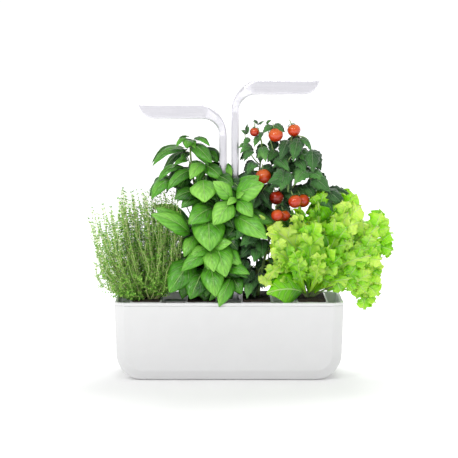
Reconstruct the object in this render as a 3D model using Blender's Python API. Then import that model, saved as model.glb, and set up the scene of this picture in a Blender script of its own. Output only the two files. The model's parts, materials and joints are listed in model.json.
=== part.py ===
"""A countertop hydroponic garden: tank, deck, four growing pods with their plants, and two sliding lamps.

Metres, +Z up, the front at -Y. The origin is the middle of the underside of the tank.
"""

import math

import bmesh
import bpy
from mathutils import Matrix, Vector
from mathutils.bvhtree import BVHTree

# Tank
BODY_HEIGHT = 0.144
SIDE_DRAW_IN = 0.0035        # how far each side leans in between the rim and the lower corner
CORNER_RADIUS = 0.048        # lower corners, seen from the front
BAND_WIDTH = 0.0175          # bevelled band round the front and back panels
BAND_DEPTH = 0.012
TANK_WALL = 0.003
PLINTH_HEIGHT = 0.0015
PLINTH_MARGIN = 0.006
EDGE_BREAK = 0.0012
SEAT_GAP = 0.0003            # between pieces that touch
OVERRUN = 0.004              # how far a cutter runs past what it cuts

# Deck
RIM_HEIGHT = 0.0055
RIM_WIDTH = 0.006
DECK_DROP = 0.020            # deck floor below the rim
DECK_THICKNESS = 0.0022
DECK_DRAFT = 0.001
DECK_FIT = 0.0005            # skirt of the deck inside the tank

# Growing pods
POD_COUNT = 4
POD_END_GAP = 0.02845        # between the outer pods and the tank's ends
POD_FRONT_GAP = 0.015        # between the pods and the tank's front and back
FITTINGS_CLEARANCE = 0.00115 # between a pod and what stands beside it
POD_WIDTH = 0.058
POD_LENGTH = 0.150
POD_DEPTH = 0.066
POD_CORNER = 0.009
POD_WALL = 0.0016
POD_TAPER = 0.003
POD_LIP = 0.002
POD_LIP_THICKNESS = 0.0024
POD_BELOW_RIM = 0.0006
COLLAR_WALL = 0.0014
TAB_WIDTH = 0.024
TAB_REACH = 0.0045
TAB_THICKNESS = 0.0018
SOIL_MOUND = 0.006
SOIL_BELOW_LIP = 0.002

# Wicks
WICK_PAD_WIDTH = 0.030
WICK_PAD_LENGTH = 0.080
WICK_PAD_THICKNESS = 0.002
WICK_TAIL_WIDTH = 0.018
WICK_TAIL_THICKNESS = 0.003
WICK_ABOVE_FLOOR = 0.005

# Lamps
MAST_THICKNESS = 0.0133
MAST_DEPTH = 0.044
MAST_GAP = 0.0092            # between the two masts
HEAD_THICKNESS = 0.027
HEAD_DEPTH = 0.080
HEAD_REACH = 0.1655          # from the middle of the garden to the tip
LAMP_OVER_BASIL = 0.0341     # left lamp's underside above the height of the basil
LAMP_OVER_TOMATO = 0.0483    # right lamp's underside above the height of the tomato
LAMP_STEP = 0.0442           # how much higher the right lamp stands
BEND_RADIUS = 0.032
TIP_RADIUS = 0.028
TIP_THICKNESS = 0.0016
MAST_CORNER = 0.0035
MAST_ABOVE_FLOOR = 0.0025    # left mast above the well's floor at its lowest
BEND_GROWTH = 2.2            # power by which the arm thickens through its bend
LAMP_DOWN = (0.020, 0.030)   # how far the left and the right lamp slide down
POCKET_DEPTH = 0.022
POCKET_MARGIN = 0.007
POCKET_CORNER = 0.006
DIFFUSER_THICKNESS = 0.0022
LED_BOARD_THICKNESS = 0.0016
LED_SIZE = 0.005
LED_HEIGHT = 0.0012
LED_ROWS = 2
LED_COLUMNS = 5

# Dry well for the masts, and the electronics bay behind it
WELL_WALL = 0.002
MAST_CLEARANCE = 0.0004
WELL_FLOOR = 0.003
WELL_ABOVE_TANK_FLOOR = 0.002
WELL_BELOW_RIM = 0.0015
WELL_EAR = 0.008
WELL_EAR_THICKNESS = 0.0024
BAY_WALL = 0.0018
BAY_FIT = 0.0008
PAD_WIDTH = 0.0075
PAD_THICKNESS = 0.0026
PAD_HEIGHT = 0.010
PAD_BELOW_TOP = 0.005
BOARD_THICKNESS = 0.0016
BOARD_SETBACK = 0.017        # board in front of the bay's rear wall
CHIP_SIZE = 0.007
CHIP_THICKNESS = 0.0012
CAPACITOR_RADIUS = 0.003
CAPACITOR_LENGTH = 0.006
SWITCH_SIZE = 0.006
SWITCH_THICKNESS = 0.0035
REAR_FITTINGS_X = 0.009      # inlet on one side of the middle, button on the other
REAR_FITTINGS_RISE = 0.0072
INLET_RADIUS = 0.0038
INLET_BORE_RADIUS = 0.0028
INLET_BORE_DEPTH = 0.009
INLET_PIN_RADIUS = 0.0009
INLET_BODY = 0.009
INLET_PROUD = 0.0008
BUTTON_RADIUS = 0.0036
BUTTON_FLANGE = 0.0012
BUTTON_FLANGE_THICKNESS = 0.0015
BUTTON_PROUD = 0.0022
BUTTON_TRAVEL = 0.0015
HOLE_CLEARANCE = 0.0003

# Filling port and flap
PORT_WIDTH = 0.028
PORT_LENGTH = 0.038
PORT_CENTRE_Y = 0.012
PORT_COLLAR = 0.0016
PORT_COLLAR_HEIGHT = 0.006
FLAP_THICKNESS = 0.0022
FLAP_OVERHANG = 0.0026
HINGE_PIN_RADIUS = 0.0012
HINGE_CLEARANCE = 0.0003
HINGE_BARREL_RADIUS = 0.0028
HINGE_BEHIND_FLAP = 0.0032
HINGE_EAR = 0.0022

# Water gauge
GAUGE_Y = 0.045
GUIDE_RADIUS = 0.0115
GUIDE_WALL = 0.0012
GUIDE_FLANGE = 0.003
GUIDE_FLANGE_THICKNESS = 0.0015
GUIDE_LIP = 0.002
GAUGE_STEM_RADIUS = 0.0022
FLOAT_HEIGHT = 0.022
FLOAT_CLEARANCE = 0.0006
GAUGE_TRAVEL = 0.036
GAUGE_PROUD = 0.0016

# Plants
LEAF_GAP = 0.0008            # foliage keeps this far from everything else
BASIL_HEIGHT = 0.300
BASIL_LEAF_THICKNESS = 0.0016
BASIL_STEM_RADIUS = 0.0026
TOMATO_HEIGHT = 0.330
TOMATO_LEAF_THICKNESS = 0.0014
TOMATO_STEM_RADIUS = 0.0022
TRUSS_RADIUS = 0.0010
LETTUCE_HEIGHT = 0.210
LETTUCE_LEAF_THICKNESS = 0.0014
THYME_HEIGHT = 0.205
THYME_SPREAD_X = 0.092
THYME_SPREAD_Y = 0.070
THYME_LEAN_X = -0.014            # the crown leans off the end of the tank
THYME_SPRIGS = 60
THYME_WHORL_RADIUS = 0.0056
THYME_STEM_RADIUS = 0.0009
CROWN_DEPTH = 0.006
THYME_CROWN = (0.020, 0.042)   # half width and half length of the woody clump
BASIL_CROWN = (0.011, 0.026)
TOMATO_CROWN = (0.008, 0.018)
LETTUCE_CROWN = (0.014, 0.022)
CROWN_HEART = 0.003          # how far a crown rises above the soil
LETTUCE_HEART = 0.016
HEART_SHARE = 0.6            # a heart's top as a share of its crown

SIDES = (-1, 1)
WELL_HALF_WIDTH = MAST_GAP / 2 + MAST_THICKNESS + MAST_CLEARANCE + WELL_WALL
HINGE_HALF_WIDTH = PORT_WIDTH / 2 + PORT_COLLAR + FLAP_OVERHANG
WIDEST_FITTING = 2 * max(
    WELL_HALF_WIDTH, HINGE_HALF_WIDTH + HINGE_CLEARANCE + HINGE_EAR, GUIDE_RADIUS + GUIDE_FLANGE,
)
POD_GAP = WIDEST_FITTING + 2 * FITTINGS_CLEARANCE
POD_PITCH = POD_WIDTH + POD_GAP
POD_X = [(index - (POD_COUNT - 1) / 2) * POD_PITCH for index in range(POD_COUNT)]
BODY_WIDTH = POD_COUNT * POD_WIDTH + (POD_COUNT - 1) * POD_GAP + 2 * POD_END_GAP
BODY_DEPTH = POD_LENGTH + 2 * POD_FRONT_GAP
SEAM_Z = BODY_HEIGHT - RIM_HEIGHT
DECK_TOP = BODY_HEIGHT - DECK_DROP
DECK_UNDER = DECK_TOP - DECK_THICKNESS
TANK_FLOOR = PLINTH_HEIGHT + TANK_WALL
LIP_TOP = BODY_HEIGHT - POD_BELOW_RIM
POD_BOTTOM = LIP_TOP - POD_DEPTH
SOIL_TOP = LIP_TOP - SOIL_BELOW_LIP
PORT_X = (POD_X[0] + POD_X[1]) / 2
GAUGE_X = (POD_X[2] + POD_X[3]) / 2
WELL_TOP = BODY_HEIGHT - WELL_BELOW_RIM
MAST_X = (MAST_GAP + MAST_THICKNESS) / 2
WELL_FRONT = -(MAST_DEPTH / 2 + MAST_CLEARANCE + WELL_WALL)
WELL_REAR = MAST_DEPTH / 2 + MAST_CLEARANCE + PAD_THICKNESS + WELL_WALL
BAY_REAR = BODY_DEPTH / 2 - RIM_WIDTH - DECK_DRAFT - BAY_FIT
REAR_FITTINGS_Z = DECK_TOP + REAR_FITTINGS_RISE
HEAD_BOTTOM = BODY_HEIGHT + max(
    BASIL_HEIGHT + LAMP_OVER_BASIL, TOMATO_HEIGHT + LAMP_OVER_TOMATO - LAMP_STEP,
)
HEAD_TOP = HEAD_BOTTOM + HEAD_THICKNESS
WELL_BOTTOM = TANK_FLOOR + WELL_ABOVE_TANK_FLOOR
MAST_BOTTOM = WELL_BOTTOM + WELL_FLOOR + LAMP_DOWN[0] + MAST_ABOVE_FLOOR
GUIDE_TOP = DECK_TOP + SEAT_GAP
CROWN_BOTTOM = SOIL_TOP - CROWN_DEPTH
FLOAT_REST = GUIDE_TOP - SEAT_GAP - GAUGE_TRAVEL - FLOAT_HEIGHT


def clear_scene():
    for old in list(bpy.data.objects):
        bpy.data.objects.remove(old, do_unlink=True)


def material(name, colour, roughness, metallic=0.0):
    made = bpy.data.materials.get(name) or bpy.data.materials.new(name)
    made.use_nodes = True
    shader = made.node_tree.nodes["Principled BSDF"]
    shader.inputs["Base Color"].default_value = (*colour, 1.0)
    shader.inputs["Roughness"].default_value = roughness
    shader.inputs["Metallic"].default_value = metallic
    return made


FINISHES = {
    "white_plastic": ((0.86, 0.86, 0.87), 0.25, 0.0),
    "grey_plastic": ((0.55, 0.56, 0.58), 0.40, 0.0),
    "brushed_aluminium": ((0.78, 0.78, 0.80), 0.32, 1.0),
    "diffuser": ((0.93, 0.93, 0.95), 0.35, 0.0),
    "circuit_board": ((0.05, 0.20, 0.10), 0.45, 0.0),
    "rubber": ((0.05, 0.05, 0.05), 0.80, 0.0),
    "steel": ((0.62, 0.62, 0.64), 0.30, 1.0),
    "felt": ((0.80, 0.78, 0.72), 0.95, 0.0),
    "soil": ((0.045, 0.030, 0.020), 0.95, 0.0),
    "gauge_red": ((0.60, 0.05, 0.04), 0.40, 0.0),
    "thyme_leaf": ((0.20, 0.36, 0.09), 0.60, 0.0),
    "basil_leaf": ((0.13, 0.42, 0.06), 0.40, 0.0),
    "tomato_leaf": ((0.06, 0.20, 0.07), 0.55, 0.0),
    "lettuce_leaf": ((0.42, 0.72, 0.07), 0.45, 0.0),
    "tomato_skin": ((0.80, 0.08, 0.02), 0.18, 0.0),
}


def add_object(name, points, faces, finish=None):
    """A mesh object from plain lists of one closed shell or more, whose faces already point outwards."""
    mesh = bpy.data.meshes.new(name)
    mesh.from_pydata([tuple(point) for point in points], [], faces)
    made = bpy.data.objects.new(name, mesh)
    bpy.context.scene.collection.objects.link(made)
    if finish:
        mesh.materials.append(material(finish, *FINISHES[finish]))
    return made


def ring_faces(ring_count, point_count, closed_loop=False, first=0):
    """Quads between rings of equal point count; the two end rings are capped unless the loop closes."""
    faces = []
    for ring in range(ring_count if closed_loop else ring_count - 1):
        low = first + ring * point_count
        high = first + (ring + 1) % ring_count * point_count
        for point in range(point_count):
            after = (point + 1) % point_count
            faces.append((low + point, low + after, high + after, high + point))
    if not closed_loop:
        faces.append(tuple(first + point for point in reversed(range(point_count))))
        faces.append(tuple(first + (ring_count - 1) * point_count + point for point in range(point_count)))
    return faces


def outward(points, faces):
    """The faces of one closed shell, turned over if they point inwards."""
    volume = 0
    for face in faces:
        first = Vector(points[face[0]])
        for second, third in zip(face[1:], face[2:]):
            volume += first.dot(Vector(points[second]).cross(Vector(points[third])))
    return faces if volume > 0 else [tuple(reversed(face)) for face in faces]


def loft(name, rings, finish=None, closed_loop=False):
    points = [point for ring in rings for point in ring]
    faces = ring_faces(len(rings), len(rings[0]), closed_loop)
    return add_object(name, points, outward(points, faces), finish)


def box(name, low, high, finish=None):
    rings = [
        [(low[0], low[1], z), (high[0], low[1], z), (high[0], high[1], z), (low[0], high[1], z)]
        for z in (low[2], high[2])
    ]
    return loft(name, rings, finish)


def rounded_outline(half_width, half_length, radius, steps=3):
    """Points round a rectangle with round corners, centred on zero."""
    points = []
    for sign_x, sign_y, start in ((1, 1, 0), (-1, 1, 90), (-1, -1, 180), (1, -1, 270)):
        for step in range(steps):
            angle = math.radians(start + 90 * step / (steps - 1))
            points.append((
                sign_x * (half_width - radius) + radius * math.cos(angle),
                sign_y * (half_length - radius) + radius * math.sin(angle),
            ))
    return points


def flat_ring(outline, z, centre=(0, 0)):
    return [(centre[0] + x, centre[1] + y, z) for x, y in outline]


def circle(radius, sides=12):
    return [
        (radius * math.cos(math.tau * side / sides), radius * math.sin(math.tau * side / sides))
        for side in range(sides)
    ]


def rod_along_y(name, radius, start, end, centre, finish=None, sides=12):
    rings = [[(centre[0] + x, y, centre[1] + z) for x, z in circle(radius, sides)] for y in (start, end)]
    return loft(name, rings, finish)


def rod_along_x(name, radius, start, end, centre, finish=None, sides=12):
    rings = [[(x, centre[0] + y, centre[1] + z) for y, z in circle(radius, sides)] for x in (start, end)]
    return loft(name, rings, finish)


def settle(target):
    """Makes the modifiers' result the object's own mesh."""
    graph = bpy.context.evaluated_depsgraph_get()
    mesh = bpy.data.meshes.new_from_object(target.evaluated_get(graph))
    target.modifiers.clear()
    target.data = mesh


def combine(target, other, operation, overlapping_shells=False):
    change = target.modifiers.new(operation, "BOOLEAN")
    change.operation = operation
    change.object = other
    change.use_self = overlapping_shells
    settle(target)
    bpy.data.objects.remove(other, do_unlink=True)


def cut(target, *cutters):
    for cutter in cutters:
        combine(target, cutter, "DIFFERENCE")


def join(target, *pieces):
    for piece in pieces:
        combine(target, piece, "UNION")


def keep_outer_skin(target):
    """Drops the skins of pockets that crossing leaves have closed off, so that the outer skin is left."""
    shape = bmesh.new()
    shape.from_mesh(target.data)
    unseen = set(shape.faces)
    skins = []
    while unseen:
        skin, front = set(), [unseen.pop()]
        while front:
            face = front.pop()
            skin.add(face)
            for edge in (edge for edge in face.edges if edge.is_manifold):
                for neighbour in edge.link_faces:
                    if neighbour in unseen:
                        unseen.remove(neighbour)
                        front.append(neighbour)
        skins.append(skin)
    largest = max(skins, key=len)
    bmesh.ops.delete(shape, geom=[face for face in shape.faces if face not in largest], context="FACES")
    shape.to_mesh(target.data)
    shape.free()


def break_edges(target, width, segments=1, limit_deg=25):
    bevel = target.modifiers.new("edge_break", "BEVEL")
    bevel.width = width
    bevel.segments = segments
    bevel.limit_method = "ANGLE"
    bevel.angle_limit = math.radians(limit_deg)
    settle(target)


# Tank and deck

BAND_ANGLE = math.atan2(BAND_DEPTH, BAND_WIDTH)
FRONT_SHIFT = math.tan(BAND_ANGLE / 2)                 # an inset moves the band's front corner by this share
SIDE_SHIFT = math.tan((math.pi / 2 - BAND_ANGLE) / 2)  # and its side corner by this one


def side_lean(z):
    """How far the side has drawn in at a height."""
    return SIDE_DRAW_IN * (BODY_HEIGHT - z) / (BODY_HEIGHT - PLINTH_HEIGHT - CORNER_RADIUS)


def tank_outline(inset, top, corner_steps=8):
    """The front view of the tank at one depth: open U with round lower corners, as (x, z)."""
    centre_x = BODY_WIDTH / 2 - SIDE_DRAW_IN - CORNER_RADIUS
    centre_z = PLINTH_HEIGHT + CORNER_RADIUS
    radius = CORNER_RADIUS - inset
    right = [(BODY_WIDTH / 2 - inset - side_lean(top), top)]
    for step in range(corner_steps + 1):
        angle = math.radians(90 * step / corner_steps)
        right.append((centre_x + radius * math.cos(angle), centre_z - radius * math.sin(angle)))
    return right + [(-x, z) for x, z in reversed(right)]


def tank_shape(name, inset, top):
    """The outside of the tank, or with an inset its inside."""
    depths = (
        (BODY_DEPTH / 2 - inset, BAND_WIDTH + inset * FRONT_SHIFT),
        (BODY_DEPTH / 2 - BAND_DEPTH - inset * SIDE_SHIFT, inset),
    )
    stations = [(-y, wall) for y, wall in depths] + [(y, wall) for y, wall in reversed(depths)]
    return loft(name, [[(x, y, z) for x, z in tank_outline(wall, top)] for y, wall in stations])


def plan_outline(inset):
    """The rim seen from above, drawn in by an inset."""
    front_x = BODY_WIDTH / 2 - BAND_WIDTH - inset * FRONT_SHIFT
    front_y = BODY_DEPTH / 2 - inset
    side_x = BODY_WIDTH / 2 - inset
    side_y = BODY_DEPTH / 2 - BAND_DEPTH - inset * SIDE_SHIFT
    quarter = [(side_x, side_y), (front_x, front_y)]
    return (
        quarter
        + [(-x, y) for x, y in reversed(quarter)]
        + [(-x, -y) for x, y in quarter]
        + [(x, -y) for x, y in reversed(quarter)]
    )


def rear_holes(name, radius, start, end):
    """Cutters for the inlet and the button through what stands behind the bay."""
    return [
        rod_along_y(name, radius_at, start, end, (side * REAR_FITTINGS_X, REAR_FITTINGS_Z))
        for side, radius_at in ((-1, radius[0]), (1, radius[1]))
    ]


REAR_HOLE_RADII = (BUTTON_RADIUS + HOLE_CLEARANCE, INLET_RADIUS + HOLE_CLEARANCE)


def make_tank():
    tank = tank_shape("tank", 0, SEAM_Z)
    tank.data.materials.append(material("white_plastic", *FINISHES["white_plastic"]))
    break_edges(tank, EDGE_BREAK)
    half_width = BODY_WIDTH / 2 - SIDE_DRAW_IN - CORNER_RADIUS - PLINTH_MARGIN
    half_depth = BODY_DEPTH / 2 - BAND_DEPTH - PLINTH_MARGIN
    join(tank, box(
        "plinth", (-half_width, -half_depth, 0), (half_width, half_depth, PLINTH_HEIGHT + TANK_WALL / 2),
    ))
    cut(tank, tank_shape("tank_inside", TANK_WALL, SEAM_Z + OVERRUN))
    cut(tank, *rear_holes("tank_hole", REAR_HOLE_RADII, BODY_DEPTH / 2 - TANK_WALL - OVERRUN,
                          BODY_DEPTH / 2 + OVERRUN))


def pod_outline(spread, corner_steps=3):
    """Outline of a pod at its body below the lip, grown or shrunk by a spread."""
    return rounded_outline(
        POD_WIDTH / 2 - POD_LIP + spread, POD_LENGTH / 2 - POD_LIP + spread,
        POD_CORNER - POD_LIP + spread, corner_steps,
    )


def make_deck():
    skirt = TANK_WALL + DECK_FIT
    profile = (
        (skirt + side_lean(DECK_UNDER), DECK_UNDER),
        (skirt + side_lean(SEAM_Z), SEAM_Z + SEAT_GAP),
        (0, SEAM_Z + SEAT_GAP),
        (0, BODY_HEIGHT - EDGE_BREAK),
        (EDGE_BREAK, BODY_HEIGHT),
        (RIM_WIDTH - EDGE_BREAK, BODY_HEIGHT),
        (RIM_WIDTH, BODY_HEIGHT - EDGE_BREAK),
        (RIM_WIDTH + DECK_DRAFT, DECK_TOP),
    )
    deck = loft("deck", [flat_ring(plan_outline(inset), z) for inset, z in profile], "white_plastic")
    collar_top = LIP_TOP - POD_LIP_THICKNESS - SEAT_GAP
    collar_inner = HOLE_CLEARANCE
    collar_outer = collar_inner + COLLAR_WALL
    for x in POD_X:
        outer = pod_outline(collar_outer)
        join(deck, loft("collar", [flat_ring(outer, z, (x, 0)) for z in (DECK_UNDER + SEAT_GAP, collar_top)]))
    port = (PORT_X, PORT_CENTRE_Y)
    port_half = (PORT_WIDTH / 2, PORT_LENGTH / 2)
    port_top = DECK_TOP + PORT_COLLAR_HEIGHT
    join(deck, box(
        "port_collar",
        (port[0] - port_half[0] - PORT_COLLAR, port[1] - port_half[1] - PORT_COLLAR, DECK_UNDER + SEAT_GAP),
        (port[0] + port_half[0] + PORT_COLLAR, port[1] + port_half[1] + PORT_COLLAR, port_top),
    ))
    for side in SIDES:
        inner = HINGE_HALF_WIDTH + HINGE_CLEARANCE
        ends = sorted((PORT_X + side * inner, PORT_X + side * (inner + HINGE_EAR)))
        join(deck, box(
            "hinge_ear",
            (ends[0], hinge_y() - HINGE_BARREL_RADIUS, DECK_UNDER + SEAT_GAP),
            (ends[1], hinge_y() + HINGE_BARREL_RADIUS, hinge_z() + HINGE_BARREL_RADIUS),
        ))
    reach = HINGE_HALF_WIDTH + HINGE_EAR + OVERRUN
    cut(deck, rod_along_x("ear_holes", HINGE_PIN_RADIUS + HINGE_CLEARANCE, PORT_X - reach, PORT_X + reach,
                          (hinge_y(), hinge_z())))
    for x in POD_X:
        inner = pod_outline(collar_inner)
        cut(deck, loft("socket", [
            flat_ring(inner, z, (x, 0)) for z in (DECK_UNDER - OVERRUN, collar_top + OVERRUN)
        ]))
    cut(deck, box(
        "port",
        (port[0] - port_half[0], port[1] - port_half[1], DECK_UNDER - OVERRUN),
        (port[0] + port_half[0], port[1] + port_half[1], port_top + OVERRUN),
    ))
    cut(deck, loft("gauge_hole", [
        flat_ring(circle(GUIDE_RADIUS + HOLE_CLEARANCE), z, (GAUGE_X, GAUGE_Y))
        for z in (DECK_UNDER - OVERRUN, DECK_TOP + OVERRUN)
    ]))
    well = WELL_HALF_WIDTH + HOLE_CLEARANCE
    cut(deck, box(
        "well_hole",
        (-well, WELL_FRONT - HOLE_CLEARANCE, DECK_UNDER - OVERRUN),
        (well, WELL_REAR + HOLE_CLEARANCE, DECK_TOP + OVERRUN),
    ))
    cut(deck, *rear_holes("deck_hole", REAR_HOLE_RADII, BAY_REAR, BODY_DEPTH / 2 - TANK_WALL))


# Filling flap

def flap_bottom():
    return DECK_TOP + PORT_COLLAR_HEIGHT + SEAT_GAP


def hinge_y():
    return PORT_CENTRE_Y + PORT_LENGTH / 2 + PORT_COLLAR + HINGE_BEHIND_FLAP + SEAT_GAP


def hinge_z():
    return flap_bottom() + HINGE_BARREL_RADIUS


def make_flap():
    half = HINGE_HALF_WIDTH
    front = PORT_CENTRE_Y - PORT_LENGTH / 2 - PORT_COLLAR - FLAP_OVERHANG
    flap = box(
        "fill_flap", (PORT_X - half, front, flap_bottom()),
        (PORT_X + half, hinge_y(), flap_bottom() + FLAP_THICKNESS), "white_plastic",
    )
    join(
        flap,
        rod_along_x("barrel", HINGE_BARREL_RADIUS, PORT_X - half, PORT_X + half, (hinge_y(), hinge_z())),
        box("finger_lip", (PORT_X - half / 2, front - FLAP_OVERHANG, flap_bottom() + SEAT_GAP),
            (PORT_X + half / 2, front + FLAP_OVERHANG, flap_bottom() + FLAP_THICKNESS - SEAT_GAP)),
    )
    cut(flap, rod_along_x("pin_hole", HINGE_PIN_RADIUS + HINGE_CLEARANCE, PORT_X - half - OVERRUN,
                          PORT_X + half + OVERRUN, (hinge_y(), hinge_z())))
    reach = half + HINGE_CLEARANCE + HINGE_EAR
    rod_along_x("flap_hinge_pin", HINGE_PIN_RADIUS, PORT_X - reach, PORT_X + reach,
                (hinge_y(), hinge_z()), "steel")


# Pods, soil and wicks

def wick_slot(spread, x, low, high):
    return box(
        "wick_slot",
        (x - WICK_TAIL_WIDTH / 2 - spread, -WICK_TAIL_THICKNESS / 2 - spread, low),
        (x + WICK_TAIL_WIDTH / 2 + spread, WICK_TAIL_THICKNESS / 2 + spread, high),
    )


def make_pod(index, x):
    lip = pod_outline(POD_LIP)
    lip_under = LIP_TOP - POD_LIP_THICKNESS
    rings = (
        (pod_outline(-POD_TAPER), POD_BOTTOM),
        (pod_outline(0), lip_under),
        (lip, lip_under),
        (lip, LIP_TOP),
        (pod_outline(-POD_WALL), LIP_TOP),
        (pod_outline(-POD_TAPER - POD_WALL), POD_BOTTOM + POD_WALL),
    )
    pod = loft(f"pod_{index}", [flat_ring(outline, z, (x, 0)) for outline, z in rings], "white_plastic")
    tab = [
        (x + TAB_WIDTH / 2 * a / TAB_REACH, -POD_LENGTH / 2 + b)
        for a, b in circle(TAB_REACH, 14)
    ]
    join(pod, loft("tab", [flat_ring(tab, z) for z in (LIP_TOP - TAB_THICKNESS, LIP_TOP + SEAT_GAP)]))
    trim_heights = (LIP_TOP - TAB_THICKNESS, LIP_TOP + OVERRUN)
    inside = [flat_ring(pod_outline(-POD_WALL), z, (x, 0)) for z in trim_heights]
    cut(pod, loft("tab_trim", inside))
    cut(pod, wick_slot(HOLE_CLEARANCE, x, POD_BOTTOM - OVERRUN, POD_BOTTOM + POD_WALL + OVERRUN))


def make_wick(index, x):
    pad_bottom = POD_BOTTOM + POD_WALL + SEAT_GAP
    wick = box(
        f"wick_{index}",
        (x - WICK_PAD_WIDTH / 2, -WICK_PAD_LENGTH / 2, pad_bottom),
        (x + WICK_PAD_WIDTH / 2, WICK_PAD_LENGTH / 2, pad_bottom + WICK_PAD_THICKNESS), "felt",
    )
    join(wick, wick_slot(0, x, TANK_FLOOR + WICK_ABOVE_FLOOR, pad_bottom + WICK_PAD_THICKNESS / 2))


def soil_height(across, along, index):
    """Height of the soil above its edge at shares across and along the pod, each from -1 to 1."""
    mound = (1 - across ** 2) * (1 - along ** 4)
    lumps = math.sin(7 * along + 2 * index) * math.cos(3 * across + index) / 5
    return SOIL_MOUND * mound * (0.8 + lumps)


def make_soil(index, x, crown):
    """A block that fills the pod, lumpy on top, with a socket for the plant's crown."""
    bottom = POD_BOTTOM + POD_WALL + WICK_PAD_THICKNESS + 2 * SEAT_GAP
    inset = POD_LIP + POD_WALL + SEAT_GAP
    drawn_in = POD_TAPER * (1 - (bottom - POD_BOTTOM) / POD_DEPTH)
    columns, rows = 4, 8

    def place(row, column, trim=0.0):
        across, along = 2 * column / columns - 1, 2 * row / rows - 1
        if abs(across) == abs(along) == 1:
            trim += (POD_CORNER - POD_LIP) / 2
        half_x, half_y = POD_WIDTH / 2 - inset - trim, POD_LENGTH / 2 - inset - trim
        return x + across * half_x, along * half_y, SOIL_TOP + soil_height(across, along, index)

    wide = columns + 1
    points = [place(row, column) for row in range(rows + 1) for column in range(wide)]
    faces = [
        (corner, corner + 1, corner + wide + 1, corner + wide)
        for corner in (row * wide + column for row in range(rows) for column in range(columns))
    ]
    edge = (
        [(0, column) for column in range(columns)] + [(row, columns) for row in range(rows)]
        + [(rows, column) for column in range(columns, 0, -1)] + [(row, 0) for row in range(rows, 0, -1)]
    )
    first = len(points)
    points += [(*place(row, column, drawn_in)[:2], bottom) for row, column in edge]
    for order, (row, column) in enumerate(edge):
        after = (order + 1) % len(edge)
        next_row, next_column = edge[after]
        faces.append((first + order, first + after, next_row * wide + next_column, row * wide + column))
    faces.append(tuple(first + order for order in reversed(range(len(edge)))))
    soil = add_object(f"soil_{index}", points, outward(points, faces), "soil")
    ring = crown_ring(crown[0] + SEAT_GAP, crown[1] + SEAT_GAP)
    cut(soil, loft("crown_socket", [
        flat_ring(ring, z, (x, 0)) for z in (CROWN_BOTTOM - SEAT_GAP, BODY_HEIGHT + SOIL_MOUND + OVERRUN)
    ]))


# Lamps

def arm_stations(side):
    """Points along the arm as (inner x, inner z, outer x, outer z, depth), for the left or right lamp."""
    rise = LAMP_STEP if side > 0 else 0
    mast_outer = side * MAST_GAP / 2             # the face towards the other mast
    mast_inner = side * (MAST_GAP / 2 + MAST_THICKNESS)
    bend_x = mast_inner + side * BEND_RADIUS
    bend_z = HEAD_BOTTOM - BEND_RADIUS + rise
    stations = [(mast_inner, MAST_BOTTOM + rise, mast_outer, MAST_BOTTOM + rise, MAST_DEPTH)]
    steps = 7
    for step in range(steps + 1):
        share = step / steps
        angle = math.pi / 2 * share
        thickness = MAST_THICKNESS + (HEAD_THICKNESS - MAST_THICKNESS) * share ** BEND_GROWTH
        depth = MAST_DEPTH + (HEAD_DEPTH - MAST_DEPTH) * (1 - math.cos(math.pi * share)) / 2
        out_x, out_z = -side * math.cos(angle), math.sin(angle)
        stations.append((
            bend_x + BEND_RADIUS * out_x, bend_z + BEND_RADIUS * out_z,
            bend_x + (BEND_RADIUS + thickness) * out_x, bend_z + (BEND_RADIUS + thickness) * out_z, depth,
        ))
    top = HEAD_TOP + rise
    tip_steps = 5
    for step in range(tip_steps):
        angle = math.pi / 2 * step / (tip_steps - 1)
        x = side * (HEAD_REACH - TIP_RADIUS + TIP_RADIUS * math.sin(angle))
        thickness = TIP_THICKNESS + (HEAD_THICKNESS - TIP_THICKNESS) * math.cos(angle)
        depth = HEAD_DEPTH - 2 * MAST_CORNER * (1 - math.cos(angle))
        stations.append((x, top - thickness, x, top, depth))
    return stations


def arm_section(inner_x, inner_z, outer_x, outer_z, depth):
    """A rectangle with round corners between an inner and an outer point, spread along Y."""
    inner, outer = Vector((inner_x, 0, inner_z)), Vector((outer_x, 0, outer_z))
    across = outer - inner
    half = across.length / 2
    outline = rounded_outline(half, depth / 2, min(MAST_CORNER, half * 0.9))
    middle = (inner + outer) / 2
    direction = across.normalized()
    return [middle + direction * u + Vector((0, v, 0)) for u, v in outline]


def pocket_range(side):
    """Inner and outer end of the light pocket along the head."""
    inner = side * (MAST_GAP / 2 + MAST_THICKNESS + BEND_RADIUS)
    return inner + side * POCKET_MARGIN / 2, side * (HEAD_REACH - TIP_RADIUS)


def pocket_plate(name, side, low, high, spread, finish=None):
    start, end = pocket_range(side)
    outline = rounded_outline(
        abs(end - start) / 2 + spread, HEAD_DEPTH / 2 - POCKET_MARGIN + spread, POCKET_CORNER + spread,
    )
    return loft(name, [flat_ring(outline, z, ((start + end) / 2, 0)) for z in (low, high)], finish)


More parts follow.
